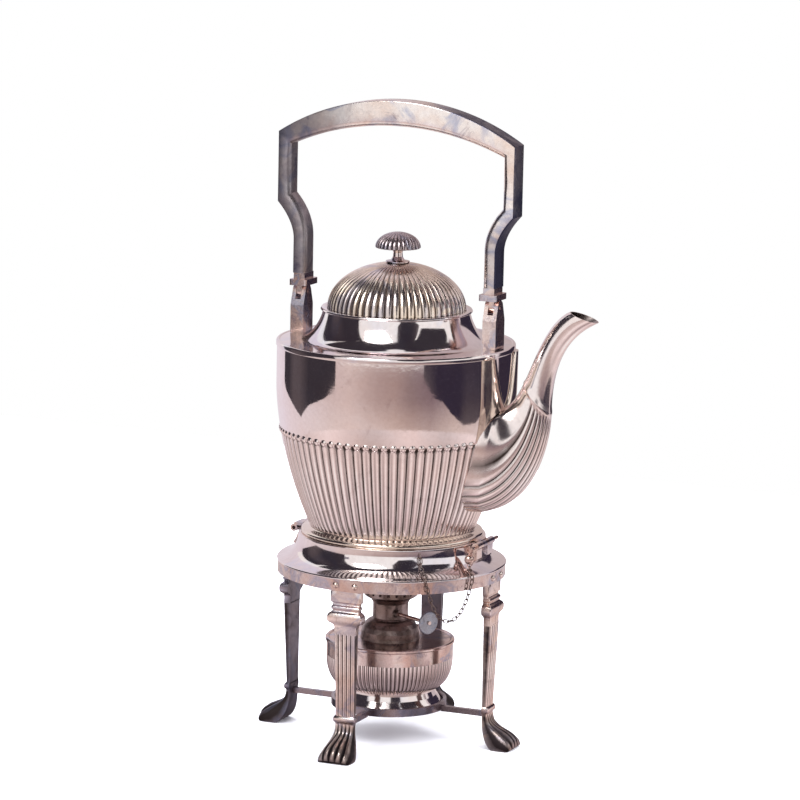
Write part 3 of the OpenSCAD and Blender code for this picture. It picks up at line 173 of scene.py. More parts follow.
# Its navy cavity colour also carries painted shade and dark reflections on the bail.
HANDLE = plate("handle_plate", (0.97, 0.89, 0.85), (0.84, 0.64, 0.54), (0.30, 0.24, 0.29),
               0.54, 0.62, (0.12, 0.28), 30.0, cavity=(0.050, 0.050, 0.095), blue=(0.40, 0.43, 0.58),
               bump=0.1)
POST = plate("post_plate", (0.78, 0.68, 0.66), (0.70, 0.50, 0.43), (0.32, 0.25, 0.28),
             0.46, 0.56, (0.12, 0.28), 46.0, blue=(0.40, 0.42, 0.54), bump=0.1)
DARKM = plate("dark_tarnished_plate", (0.40, 0.37, 0.41), (0.36, 0.29, 0.28), (0.15, 0.13, 0.16),
              0.48, 0.56, (0.18, 0.36), 45.0, blue=(0.25, 0.27, 0.37), bump=0.12)
CAP = plate("finial_plate", (0.58, 0.51, 0.55), (0.52, 0.42, 0.42), (0.24, 0.19, 0.22),
            0.48, 0.58, (0.16, 0.32), 60.0, cavity=(0.035, 0.03, 0.035), blue=(0.38, 0.38, 0.48),
            bump=0.1)
COPPER = plate("copper_tinted_ball", (0.72, 0.54, 0.48), (0.62, 0.42, 0.36), (0.32, 0.21, 0.20),
               0.5, 0.6, (0.12, 0.24), 120.0)
BURNER = plate("burner_brass", (0.36, 0.29, 0.29), (0.26, 0.19, 0.17), (0.12, 0.09, 0.08),
               0.45, 0.52, (0.24, 0.46), 60.0, bump=0.2)
CHAIN = plate("chain_wire", (0.24, 0.20, 0.19), (0.22, 0.15, 0.13), (0.10, 0.08, 0.08),
              0.5, 0.6, (0.2, 0.4), 150.0, bump=0.1)
DISC = plate("winder_plate", (0.40, 0.43, 0.50), (0.36, 0.36, 0.40), (0.16, 0.16, 0.19),
             0.5, 0.6, (0.2, 0.36), 90.0, blue=(0.26, 0.30, 0.39), bump=0.1)


def cotton():
    """Undyed wick cotton with a plain weave."""
    m, t = new_material("cotton_wick")
    at = t.add("ShaderNodeTexCoord").outputs["Object"]
    turned = t.add("ShaderNodeMapping", {
        "Vector": at, "Rotation": (0, 0, math.radians(27))}).outputs["Vector"]
    warp, weft = (t.add("ShaderNodeTexWave", {"Vector": turned, "Scale": scale},
                        bands_direction=way).outputs["Fac"] for scale, way in ((420.0, "X"), (380.0, "Z")))
    weave = t.math("MULTIPLY", warp, weft)
    colour = t.mix(weave, (0.62, 0.58, 0.50), (0.90, 0.87, 0.80))
    t.finish(t.add("ShaderNodeBsdfPrincipled", {
        "Base Color": colour, "Roughness": 0.95, "Normal": t.bump(0.6, 0.0003, weave)}))
    return m


WICK = cotton()


# mesh helpers
def piece(name, verts, faces, body, material, slot, nodes, cavity=None, flat=30, polish=None):
    """A mesh piece in millimetres that rides on a body and stands for CAD nodes.

    Edges sharper than flat degrees stay sharp.
    """
    me = bpy.data.meshes.new(name)
    me.from_pydata([(x * MM, y * MM, z * MM) for x, y, z in verts], [], faces)
    for key, values in (("cavity", cavity), ("polish", polish)):
        if values:
            me.attributes.new(key, "FLOAT", "POINT").data.foreach_set("value", values)
    me.validate()
    ob = bpy.data.objects.new(name, me)
    scene.collection.objects.link(ob)
    me.materials.append(material)
    me.set_sharp_from_angle(angle=math.radians(flat))
    for p in me.polygons:
        p.use_smooth = True
    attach(ob, body)
    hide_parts(*nodes)


def ring_at(r, z, n):
    """A level ring of n points round the axis of the stand."""
    return [(r * math.cos(TAU * k / n), r * math.sin(TAU * k / n), z) for k in range(n)]


def grid(rows, closed_rows=False):
    """Points and faces through rows of equal length; each row is a closed ring."""
    n, m = len(rows[0]), len(rows)
    verts = [p for r in rows for p in r]
    faces = [(i * n + k, i * n + (k + 1) % n, ((i + 1) % m) * n + (k + 1) % n, ((i + 1) % m) * n + k)
             for i in range(m if closed_rows else m - 1) for k in range(n)]
    return verts, faces


def rounded(profile, r=0.25, steps=2):
    """Rounds the corners of a closed outline."""
    out, n = [], len(profile)
    for i, p in enumerate(profile):
        a, b = Vector(profile[i - 1]), Vector(profile[(i + 1) % n])
        p = Vector(p)
        da, db = a - p, b - p
        la, lb = da.length, db.length
        if la < 1e-6 or lb < 1e-6 or abs(da.angle(db) - math.pi) < 0.12:
            out.append(tuple(p))
            continue
        k = min(r, la * 0.45, lb * 0.45)
        p0, p1 = p + da / la * k, p + db / lb * k
        for j in range(steps + 1):
            t = j / steps
            q = p0 * (1 - t) ** 2 + p * 2 * t * (1 - t) + p1 * t * t
            out.append(tuple(q))
    return out


def lathe(name, profile, body, material, slot, nodes, segs=192, soft=0.25, flat=38):
    """Turns a closed outline [(radius, height)] round the axis of the stand."""
    angles = [math.radians(360.0 * k / segs) for k in range(segs)]
    rows = [[(r * math.cos(a), r * math.sin(a), z) for a in angles] for r, z in rounded(profile, soft)]
    piece(name, *grid(rows, True), body, material, slot, nodes, flat=flat)


def smooth_line(pts, steps):
    """Catmull-Rom points through the given ones."""
    out = []
    for i in range(len(pts) - 1):
        p = [Vector(pts[min(len(pts) - 1, max(0, i + k))]) for k in (-1, 0, 1, 2)]
        for j in range(steps):
            t = j / steps
            out.append(tuple(0.5 * ((2 * p[1]) + (p[2] - p[0]) * t
                                    + (2 * p[0] - 5 * p[1] + 4 * p[2] - p[3]) * t * t
                                    + (3 * p[1] - p[0] - 3 * p[2] + p[3]) * t ** 3)))
    out.append(tuple(pts[-1]))
    return out


def bez(p, t):
    """A point on a cubic curve."""
    q = [Vector(v) for v in p]
    return q[0] * (1 - t) ** 3 + q[1] * 3 * t * (1 - t) ** 2 + q[2] * 3 * t * t * (1 - t) + q[3] * t ** 3


def flute(u, power):
    """Depth below the crest across one convex reed, u from -1 to 1."""
    return 1 - max(0.0, 1 - u * u) ** power


def step(a, b, x):
    """Eases from 0 at a to 1 at b."""
    t = min(1, max(0, (x - a) / (b - a)))
    return t * t * (3 - 2 * t)


# kettle body
SEAT = 120.3                # top of the shelf
KZ = SEAT + 0.05            # underside of the kettle
BODY_R = 68.4
BODY_LOW, BODY_TOP = KZ + 4.4, KZ + 109.1
TAPER = KZ + 87.5           # the wall is upright above it
SHOULDER = BODY_TOP + 3.2
RIM = SHOULDER + 17.2       # the mouth
BEAD = KZ + 60.4            # middle of the row of beads
BEAD_R = 2.0


def body_at(z):
    """Radius of the kettle's wall."""
    return BODY_R - 20.4 * (max(0.0, TAPER - z) / (TAPER - BODY_LOW)) ** 1.8


def body_shell():
    """The wall: reeds that end in arches under the beads, smooth above, open under the spout's root."""
    per, reeds, depth = 12, 78, 1.35
    cols = per * reeds
    zs = [BODY_LOW + 0.03 + k * 1.6 for k in range(33)]
    zs = [z for z in zs if z < BEAD - 4.2] + [BEAD - 4 + 0.4 * k for k in range(21)]
    zs += [BEAD + 5 + (BODY_TOP - 0.03 - BEAD - 5) * k / 16 for k in range(17)]
    root = math.asin(27.0 / BODY_R)
    rows, cav = [], []
    for z in zs:
        v = (BEAD - 0.6 - z) / 3.0
        arch = 1.0 if v >= 1 else (math.sqrt(max(0.0, 1 - (1 - v) ** 2)) if v > 0 else 0.0)
        start = step(BODY_LOW - 2, BODY_LOW + 5, z)
        row = []
        for k in range(cols):
            u = 2 * ((k % per) / per) - 1           # -1 and 1 lie in the grooves
            a = TAU * k / cols
            if arch <= 0 or abs(u) > arch:
                d = depth * flute(0.97, 0.55) * start * step(BEAD + 1.4, BEAD - 0.6, z)
            else:
                w = min(1.0, abs(u) / max(arch, 1e-3))
                d = depth * flute(w * 0.97, 0.55) * start
            r = body_at(z) - d
            rho = math.hypot(u * math.pi * 66 / reeds, z - BEAD) / BEAD_R
            beaded = rho < 1 and min(a, TAU - a) >= root
            if beaded:
                r = max(r, body_at(z) - 0.35 + 1.25 * math.sqrt(1 - rho * rho))
            # Grooves darken with dirt and painted shade; the beads stay clean.
            cav.append(0.0 if beaded else min(1.0, d / 1.2))
            row.append((r * math.cos(a), r * math.sin(a), z))
        rows.append(row)
    lo, hi = BODY_LOW + 23, BODY_LOW + 46           # the opening into the spout
    # The inside is painted a little darker as shade.
    for r, z in [(67.2, BODY_TOP - 0.03), (67.1, TAPER), (body_at(hi) - 2.5, hi),
                 (body_at(lo) - 2.5, lo), (45.5, BODY_LOW + 0.03)]:
        rows.append(ring_at(r, z, cols))
        cav += [0.3] * cols
    verts, faces = grid(rows, True)
    m, half = len(rows), 3 * per
    keep = []
    for i in range(m):
        za, zb = rows[i][0][2], rows[(i + 1) % m][0][2]
        zone = min(za, zb) > lo - 0.5 and max(za, zb) < hi + 0.9
        keep += [faces[i * cols + k] for k in range(cols) if not (zone and (k < half or k >= cols - half))]
    shine = [step(BEAD + 0.5, BEAD + 3, z) for x, y, z in verts]
    piece("kettle_wall", verts, keep, "kettle", REEDED, "silver_plate", ["kettle_body"], cav,
          flat=50, polish=shine)


body_shell()

# shoulder and neck
sweep = []
for k in range(25):
    a = math.radians(90 * k / 24)
    sweep.append((54.5 - 12 * math.cos(a) ** 1.333, SHOULDER + 17.2 * (1 - math.sin(a) ** 1.333)))
inside = [(r - 1.2, z - 1.2 * (1 - i / 24)) for i, (r, z) in enumerate(sweep[::-1])]
lathe("neck_and_shoulder",
      sweep + [(62, SHOULDER), (66.6, SHOULDER - 0.35), (67.3, SHOULDER), (68.3, SHOULDER),
               (68.9, SHOULDER - 0.8), (68.9, BODY_TOP), (67.2, BODY_TOP), (67.2, SHOULDER - 1.4),
               (54.5, SHOULDER - 1.2)] + inside[1:],
      "kettle", SILVER, "silver_plate", ["kettle_shoulder"], segs=256)

# foot of the kettle, shelf ring and rim of the lid
lathe("kettle_foot_ring",
      [(48, KZ), (52.6, KZ), (53, KZ + 0.9), (52.8, KZ + 1.9), (51.8, KZ + 2.7), (50.1, KZ + 3.2),
       (48.8, KZ + 3.8), (48.2, BODY_LOW), (44.8, BODY_LOW), (44.8, BODY_LOW - 1), (48, BODY_LOW - 1)],
      "kettle", GILT, "worn_gilt_plate", ["kettle_foot"], soft=0.4, flat=60)

shelf = [(54.3, SEAT), (54.3, SEAT - 9.815), (59.06, 107.465), (66.2, 105.2)]


def shelf_at(t, off=0.0):
    """A point of the shelf's swept rim, moved off millimetres square to it."""
    d = bez(shelf, min(1, t + 0.01)) - bez(shelf, max(0, t - 0.01))
    d.normalize()
    p = bez(shelf, t)
    return (p.x - off * d.y, p.y + off * d.x)


lathe("shelf_ring",
      [(47.4, SEAT - 1.2), (47.4, SEAT)] + [shelf_at(i / 24) for i in range(25)]
      + [(66.7, 104.6), (66.5, 104.01)] + [shelf_at(i / 24, -1.2) for i in range(24, 0, -1)]
      + [(53.1, SEAT - 1.2)],
      "stand", SILVER, "silver_plate", ["stand_ring"], segs=256, soft=0.3)

FZ = RIM + 0.05             # underside of the lid's rim
lathe("lid_rim",
      [(39.8, FZ - 5.5), (40.8, FZ - 5.5), (40.8, FZ), (43.4, FZ), (43.8, FZ + 0.6), (43.3, FZ + 1.6),
       (39.8, FZ + 1.6)], "lid", SILVER, "silver_plate", ["lid_flange"], soft=0.35)


def reeded_rows(outer, reeds, depth, per, power):
    """Rings from rows (radius, height, share of the depth), with dirt and painted shade in their grooves.
    """
    rows, cav = [], []
    for r, z, g in outer:
        row = []
        for k in range(reeds * per):
            d = depth * g * flute(2 * (k % per) / per - 1, power)
            a = TAU * k / (reeds * per)
            row.append(((r - d) * math.cos(a), (r - d) * math.sin(a), z))
            cav.append(min(1.0, d / depth))
        rows.append(row)
    return rows, cav


def reeded_bowl(name, outer, inner, reeds, depth, per, body, material, node, power):
    """Reeded outside, plain rows (radius, height) inside, all round."""
    cols = reeds * per
    rows, cav = reeded_rows(outer, reeds, depth, per, power)
    rows += [ring_at(r, z, cols) for r, z in inner]
    # The inside is painted darker as shade.
    cav += [0.4] * (cols * len(inner))
    piece(name, *grid(rows, True), body, material, "silver_plate", [node], cav, flat=50)


def closed_loft(name, rows, cav, body, material, slot, nodes, flat):
    """Rings joined and capped at both ends."""
    verts, faces = grid(rows)
    n, m = len(rows[0]), len(rows)
    faces.append(list(range(n))[::-1])
    faces.append([(m - 1) * n + k for k in range(n)])
    piece(name, verts, faces, body, material, slot, nodes, cav, flat=flat)


def quarter(r, z0, rise, degrees):
    """Points (radius, height, cosine) of an upright quarter ellipse."""
    angles = [math.radians(a) for a in degrees]
    return [(r * math.cos(a), z0 + rise * math.sin(a), math.cos(a)) for a in angles]


DZ, DOME_H = FZ + 1.63, 26.4    # foot of the dome and its height
dome = [(r, z, g ** 0.8) for r, z, g in quarter(39.9, DZ, DOME_H, (
    0, 2, 4, 8, 12, 17, 22, 28, 34, 40, 46, 52, 58, 63, 68, 72, 76, 79, 81))]
reeded_bowl("lid_reeded_dome", dome,
            [(r, z) for r, z, g in quarter(37.5, DZ, 24.0, (80, 68, 54, 40, 27, 14, 0))],
            56, 1.3, 12, "lid", LID, "lid_dome", 0.55)

# finial cap with its flutes
CZ = DZ + DOME_H + 8
cap = [(10.1, CZ + 0.03, 0), (12.6, CZ + 0.2, 0.7), (13.1, CZ + 0.6, 1.0)] \
    + [(r, z, g ** 0.7) for r, z, g in quarter(13.1, CZ + 0.53, 8.9, (
        8, 16, 24, 32, 40, 48, 56, 64, 71, 77, 82, 85))]
closed_loft("finial_fluted_cap", *reeded_rows(cap, 26, 0.85, 12, 0.6), "lid", CAP,
            "dark_tarnished_plate", ["finial_cap"], 50)

# lamp bowl
LZ = 19.25                  # underside of the lamp
LOW, TOPR = LZ + 10, LZ + 28.8


def lamp_at(z):
    """Radius of the lamp's bowl."""
    v = max(0.0, TOPR - z) / (TOPR - LOW)
    return 27 + 9.9 * max(0.0, 1 - v ** 2.4) ** 0.62


bowl = [(lamp_at(z), z, min(1.0, 0.3 + (z - LOW) / 3)) for z in
        [LOW + 0.03 + (TOPR - LOW - 0.06) * k / 26 for k in range(27)]]
bowl_inside = [(lamp_at(z) - 1.8, z) for z in [TOPR - 0.03 - (TOPR - LOW - 1.0) * k / 8 for k in range(9)]]
reeded_bowl("lamp_reeded_bowl", bowl,
            bowl_inside + [(20, LOW + 0.9), (2, LOW + 0.9), (2, LOW + 0.03), (20, LOW + 0.03)],
            88, 0.85, 10, "lamp", REEDED, "lamp_bowl", 0.5)

# legs
B, T = 61.0, 64.97          # radius of the back, and of the front where it meets the band
A, LB = 22.2, 97.4          # height of the ankle's ring, and of the band's lower edge
S = LB - 26                 # top of the reeded shaft
# (back, front, half width, depth of the reeds, how round the front is);
# back and front are (radius, height)
STATIONS = [
    ((B, 103.4), (T, 103.4), 9.3, 0, 0), ((B, LB - 0.02), (T, LB - 0.02), 9.3, 0, 0),
    ((B, LB - 0.6), (T, LB - 0.6), 9.3, 0, 0), ((B, LB - 6.5), (T, LB - 6.5), 9.3, 0, 0),
    ((B, LB - 7.3), (B + 3.0, LB - 7.3), 8.4, 0, 0.02),
    ((B, LB - 8.3), (B + 3.1, LB - 8.3), 8.2, 0, 0.03),
    ((B, LB - 9.2), (B + 4.2, LB - 9.0), 8.5, 0, 0.04),
    ((B, LB - 10.2), (B + 4.7, LB - 10.2), 8.8, 0, 0.04),
    ((B, LB - 11.3), (B + 4.0, LB - 11.3), 8.0, 0, 0.04),
    ((B, LB - 12.2), (B + 4.4, LB - 12.2), 8.7, 0, 0.05),
    ((B, LB - 13), (B + 5.3, LB - 13), 9.9, 0, 0.05),
    ((B, LB - 14.2), (B + 6.0, LB - 14.2), 10.6, 0, 0.06),
    ((B, LB - 15.6), (B + 6.2, LB - 15.6), 10.8, 0, 0.06),
    ((B, LB - 17), (B + 6.1, LB - 17), 10.7, 0, 0.06),
    ((B, LB - 18), (B + 5.8, LB - 18), 10.3, 0, 0.06),
    ((B, LB - 19.2), (B + 5.0, LB - 19.2), 8.2, 0, 0.06),
    ((B, LB - 20.4), (B + 4.6, LB - 20.4), 6.9, 0, 0.06),
    ((B, S + 2.6), (B + 4.6, S + 2.6), 6.7, 0, 0.06),
    ((B, S + 0.9), (B + 4.8, S + 0.9), 6.7, 0.1, 0.08), ((B, S), (B + 5.0, S), 6.5, 0.8, 0.1),
    ((B, S - 16), (B + 4.3, S - 16), 6.35, 0.8, 0.12),
    ((B, S - 32), (B + 3.5, S - 32), 6.1, 0.75, 0.14),
    ((B, A + 2.6), (B + 2.8, A + 2.6), 5.95, 0.6, 0.15),
    ((B, A + 2.0), (B + 3.1, A + 2.0), 6.2, 0, 0.15), ((B, A + 1.2), (B + 3.8, A + 1.2), 6.6, 0, 0.15),
    ((B, A), (B + 4.1, A), 6.8, 0, 0.15), ((B, A - 1.2), (B + 3.8, A - 1.2), 6.5, 0, 0.15),
    ((B, A - 2.2), (B + 3.0, A - 2.2), 6.0, 0.4, 0.2),
    ((B + 0.1, A - 5), (B + 3.5, A - 4.6), 5.9, 0.7, 0.22),
    ((B + 0.3, A - 8), (B + 4.6, A - 7.2), 6.1, 0.8, 0.25),
    ((B + 1.2, A - 13), (B + 7.8, A - 9.6), 7.0, 1.0, 0.30),
    ((B + 3.4, 4), (B + 12.0, A - 11.4), 8.2, 1.2, 0.35),
    ((B + 7.5, 0), (B + 15.8, 8.8), 9.4, 1.4, 0.40), ((B + 13.0, 0), (B + 18.5, 6.4), 9.8, 1.4, 0.45),
    ((B + 16.4, 0), (B + 19.5, 3.8), 9.5, 1.1, 0.45), ((B + 17.6, 0), (B + 19.6, 1.9), 9.0, 0.7, 0.40)]


def leg(name, turn, node, material):
    """A cast leg from its tab inside the band down to the paw."""
    per, flutes = 8, 5
    n = per * flutes
    rows, cav = [], []
    flat_rows = [(*back, *front, *rest) for back, front, *rest in STATIONS]
    fine = flat_rows[:4] + smooth_line(flat_rows[4:], 3)
    ct, st = math.cos(math.radians(turn)), math.sin(math.radians(turn))
    for bx, bz, fx, fz, w, g, q in fine:
        b, v = Vector((bx, bz)), Vector((fx - bx, fz - bz))
        row = [(b.x, -w, b.y), (b.x, w, b.y)]
        # The back edges are painted darker as shade.
        cav += [0.5, 0.5]
        for k in range(n, -1, -1):
            u = 2 * k / n - 1
            d = g * flute(2 * (k % per) / per - 1, 0.7) if g > 0.02 else 0.0
            e = 1 - q * abs(u) ** 3 - max(0.0, abs(u) - 0.94) * 1.2
            p = b + v * max(0.06, e - d / max(v.length, 0.1))
            row.append((p.x, w * u, p.y))
            # Grooves darker with dirt and painted shade, and darker still below the ankle ring.
            cav.append(min(1.0, d / 0.9 + 0.42 * step(A - 1, A - 6, p.y)))
        if bz > LB - 0.5:       # the top lies against the inside of the band
            row = [(min(x, math.sqrt(T * T - y * y)), y, z) for x, y, z in row]
        rows.append([(x * ct - y * st, x * st + y * ct, max(0.0, z)) for x, y, z in row])
    closed_loft(name, rows, cav, "stand", material, "rose_tarnished_plate", [node], 42)


# The far and rear legs take the darker copy of the rose plate, which paints shade and dark reflections
# onto them.
for node, turn, material in (("leg_spout", 0, ROSE), ("leg_far", 90, ROSE_PAINTED_SHADE),
                             ("leg_rear", 180, ROSE_PAINTED_SHADE), ("leg_near", 270, ROSE)):
    leg("cast_" + node, turn, node, material)

# bail handle
PZ = SHOULDER + 24          # its two pins


def arc_z(x, half, rise):
    """Height at x of an arc that spans half to each side."""
    r = (half * half + rise * rise) / (2 * rise)
    return rise - r + math.sqrt(max(0, r * r - x * x))


def bail_edge(low, wide, z_wide, bend, z_bar, z_corner, z_arc, rise, n=20):
    """One edge of the bail, up on the spout's side, over the top and down; heights above its pins."""
    z0, z1 = PZ + 31.1, PZ + z_wide
    half = [(low, PZ + 11.22), (low, PZ + 20)]
    half += [(low + (wide - low) * (k / n) ** bend, z0 + (z1 - z0) * k / n) for k in range(n + 1)]
    half += [(wide, PZ + z_bar), (wide, PZ + z_corner)]
    half += [(x, PZ + z_arc + arc_z(x, wide, rise)) for x in [wide * (1 - k / 24) for k in range(25)]]
    return half[:-1] + [(-x, z) for x, z in half[::-1]]


outer = bail_edge(63.0, 73.4, 52.1, 1.9, 72, 91.9, 92.7, 21.6)
inner = bail_edge(55.2, 66.0, 56.9, 2.2, 71, 85.1, 85.8, 13.8)
BAIL_HALF = 6.85            # half its width
rows, cav = [], []
for (ox, oz), (ix, iz) in zip(outer, inner):
    o, i = Vector((ox, oz)), Vector((ix, iz))
    h, mid = (o - i).length / 2, (o + i) / 2
    d = (o - i).normalized()
    ring = []
    for sx, sy, a0 in ((1, 1, 0), (-1, 1, 90), (-1, -1, 180), (1, -1, 270)):
        r = 0.8 if sx > 0 else 3.3
        for k in range(5):
            a = math.radians(a0 + 22.5 * k)
            q = mid + d * (sx * (h - r) + r * math.cos(a))
            ring.append((q.x, sy * (BAIL_HALF - r) + r * math.sin(a), q.y))
            # Painted shade and dark reflections in the cavity attribute: darker over the rear upright and
            # towards the lower ends, and the outer face nearly black on the spout's side.
            low = step(PZ + 62, PZ + 30, q.y)
            stain_and_shade = 0.66 * step(-5, -66, q.x) + (0.34 if q.x > 0 else 0.05) * low
            back = sx > 0 and ((sy < 0 and k > 0) or (sy > 0 and k < 4))
            cav.append(min(1.0, stain_and_shade + (0.8 * step(5, 40, q.x) if back else 0.0)))
    rows.append(ring)
closed_loft("bail_bar", rows, cav, "handle", HANDLE, "dark_tarnished_plate", ["bail"], 40)

# spout
# curves of its upper edge, and of its lower edge below and above the bend
UP = [(60, KZ + 75.2), (82.9, KZ + 75.3), (83.1, KZ + 124.3), (106.4, KZ + 137.3)]
LA = [(57, KZ + 18.2), (84.4, KZ + 20.5), (96.9, KZ + 57.9), (96.3, KZ + 78)]
LO = [(96.3, KZ + 78), (96.3, KZ + 103.2), (102.9, KZ + 122.5), (123.7, KZ + 132)]


def spow(v, p):
    """A power that keeps the sign."""
    return math.copysign(abs(v) ** p, v)


def spout_ring(u, t, g, per=8, reeds=13, top=30):
    """The ring at u from root to lip, t inside the surface, with reeds of depth g below."""
    a = bez(UP, 0.126 + 0.588 * u if u < 0.5 else 0.42 + 0.58 * (2 * u - 1))
    b = bez(LA, 2 * u) if u < 0.5 else bez(LO, 2 * u - 1)
    mid, arm = (a + b) / 2, (b - a) / 2
    l, dr = arm.length, arm.normalized()
    wide = 6.6 + 17.9 * (1 - u) ** 3.2
    e = 0.6 + 0.4 * min(1, u / 0.35)
    out, cav, n = [], [], per * reeds
    for k in range(n + top):
        f = math.radians(-90 + 180 * k / n if k < n else 90 + 180 * (k - n) / top)
        d = g * flute(2 * (k % per) / per - 1, 0.6) if k < n else 0.0
        along = (l - t - d) * spow(math.cos(f), e)
        y = (wide - t - d) * spow(math.sin(f), e)
        p = mid + dr * along
        x = math.sqrt(max(0, (body_at(p.y) - 0.7) ** 2 - y * y)) if u == 0 else p.x
        out.append((x, y, p.y))
        # Grooves darken with dirt and painted shade.
        cav.append(min(1.0, d))
    return out, cav


rows, cav = [], []
for u in [0.0, 0.02] + [0.48 * k / 22 for k in range(2, 23)]:
    row, dirt_and_shade = spout_ring(u, 0, 1.05 * min(1, 4 * (u + 0.15)) * (1 - step(0.44, 0.485, u)))
    rows.append(row)
    cav += dirt_and_shade
for u in [0.487, 0.495, 0.505, 0.52] + [0.54 + 0.46 * k / 18 for k in range(19)]:
    rise = -0.5 * math.exp(-((u - 0.5) / 0.012) ** 2)
    rows.append(spout_ring(u, rise + (0.25 * step(0.975, 1.0, u)), 0)[0])
    cav += [0.0] * len(rows[0])
# The inside is painted darker as shade.
for u in (1, 0.97, 0.9, 0.8, 0.68, 0.56, 0.42, 0.28, 0.14, 0):
    rows.append(spout_ring(u, 1 + (1.05 if u < 0.5 else 0.1) - (0.25 if u == 1 else 0), 0)[0])
    cav += [0.5] * len(rows[0])
piece("spout_reeded", *grid(rows, True), "kettle", REEDED, "silver_plate", ["spout"], cav, flat=45)

# two horns above the spout's root
foot_pts = sorted([(y, z) for x, y, z in spout_ring(0, -0.8, 0)[0] if z > KZ + 60])


def foot_z(y):
    """Height at which the horns rise from the spout's root."""
    if abs(y) >= max(abs(foot_pts[0][0]), abs(foot_pts[-1][0])):
        return foot_pts[0][1]
    for p, q in zip(foot_pts, foot_pts[1:]):
        if p[0] <= y <= q[0]:
            w = (y - p[0]) / max(1e-6, q[0] - p[0])
            return p[1] * (1 - w) + q[1] * w
    return foot_pts[0][1]


TIP = max(p[1] for p in foot_pts) + 1.8     # where the two horns part
TOPZ = BODY_TOP - 0.03
HORN_Y, GAP_Y = 25.1, 13.8                  # half widths of the pair, and of the gap at the top
N = 26
rows = []
for y in [HORN_Y * (2 * k / 96 - 1) for k in range(97)]:
    z0 = foot_z(y) + 0.2
    z1 = TIP + (TOPZ - TIP) * min(1.0, (abs(y) / GAP_Y) ** (1 / 0.55))
    front, back = [], []
    for k in range(N + 1):
        z = z0 + (z1 - z0) * k / N
        vz = max(0.0, (z - TIP) / (TOPZ - TIP))
        y_in = GAP_Y * vz ** 0.55 if vz > 0 else 0.0
        w = min(1, max(0, (abs(y) - y_in) / max(0.5, HORN_Y - y_in)))
        swell = (1 - (2 * w - 1) ** 2) ** 0.5
        lift = 0.35 + 2.0 * swell
        if vz <= 0:
            lift = 0.35 + (1.0 + 0.9 * swell) * step(0, 0.12, 1 - w)
        for line, off in ((front, lift), (back, -0.2)):
            r = body_at(z) + off
            line.append((math.sqrt(r * r - y * y), y, z))
    rows.append(front + back[::-1])
closed_loft("spout_horn_pair", rows, None, "kettle", GILT, "worn_gilt_plate", ["spout_horns"], 60)

# finishes of the CAD nodes
KEEP = {
    BURNER: ["burner_neck", "burner_gallery", "winder_cog"],
    WICK: ["wick"],
    DISC: ["winder_disc"],
    CHAIN: ["pin_chain", "chain_staple"],
    ROSE: ["leg_rivets", "wick_tube", "lug_front", "lug_rear", "kettle_base"],
    POST: ["apron_band", "post_front", "post_rear", "ferrule_front", "ferrule_rear", "knuckle_front",
           "knuckle_rear", "bail_pins", "finial_stem", "lamp_cover", "winder_shaft"],
    DARKM: ["lamp_hoop", "bar_spout", "bar_far", "bar_rear", "bar_near"],
    COPPER: ["hinge_pin"]}
picked = {n: m for m, ns in KEEP.items() for n in ns}
for name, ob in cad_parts.items():
    for sl in ob.material_slots:
        sl.material = picked.get(name, SILVER)

# floor and light
bpy.ops.mesh.primitive_grid_add(x_subdivisions=2, y_subdivisions=2, size=1.6, location=(0, 0, 0))
floor = bpy.context.object
floor.name = "floor"
m, t = new_material("floor")
t.finish(t.add("ShaderNodeBsdfPrincipled", {"Base Color": (0.92, 0.92, 0.97, 1), "Roughness": 0.9}))
floor.data.materials.append(m)
floor.visible_glossy = False

# white to the camera and in reflections, a little stronger where it lights the object
world = bpy.data.worlds.new("studio")
scene.world = world
world.use_nodes = True
t = Nodes(world.node_tree)
path = t.add("ShaderNodeLightPath").outputs
seen = t.math("MAXIMUM", path["Is Glossy Ray"], path["Is Transmission Ray"])
seen = t.math("MAXIMUM", path["Is Camera Ray"], seen)
lit = t.add("ShaderNodeBackground", {"Color": (0.95, 0.96, 1.0, 1), "Strength": 1.8}).outputs[0]
back = t.add("ShaderNodeBackground", {"Color": (1, 1, 1, 1), "Strength": 1.0}).outputs[0]
both = t.add("ShaderNodeMixShader", {0: seen, 1: lit, 2: back}).outputs[0]
t.add("ShaderNodeOutputWorld", {"Surface": both})


MIDDLE = Vector((0, 0, 0.19))


def compass(az, el, dist):
    """A point az degrees right of the camera, seen from the object, and el degrees up."""
    a, e = HEADING + math.radians(az), math.radians(el)
    return MIDDLE + dist * Vector((math.cos(a) * math.cos(e), math.sin(a) * math.cos(e), math.sin(e)))


def panel(name, verts, faces, tints):
    """A card that only reflections see, with a colour at each corner."""
    me = bpy.data.meshes.new(name)
    me.from_pydata(verts, [], faces)
    data = me.attributes.new("tint", "FLOAT_COLOR", "POINT").data
    for k, v in enumerate(tints):
        data[k].color = (*v, 1)
    ob = bpy.data.objects.new(name, me)
    scene.collection.objects.link(ob)
    ob.visible_camera = ob.visible_shadow = ob.visible_diffuse = False
    m, t = new_material(name)
    tint = t.add("ShaderNodeAttribute", attribute_name="tint").outputs["Color"]
    t.finish(t.add("ShaderNodeEmission", {"Color": tint}))
    me.materials.append(m)


CARD_Z = 0.205              # height of the eye line of the cards


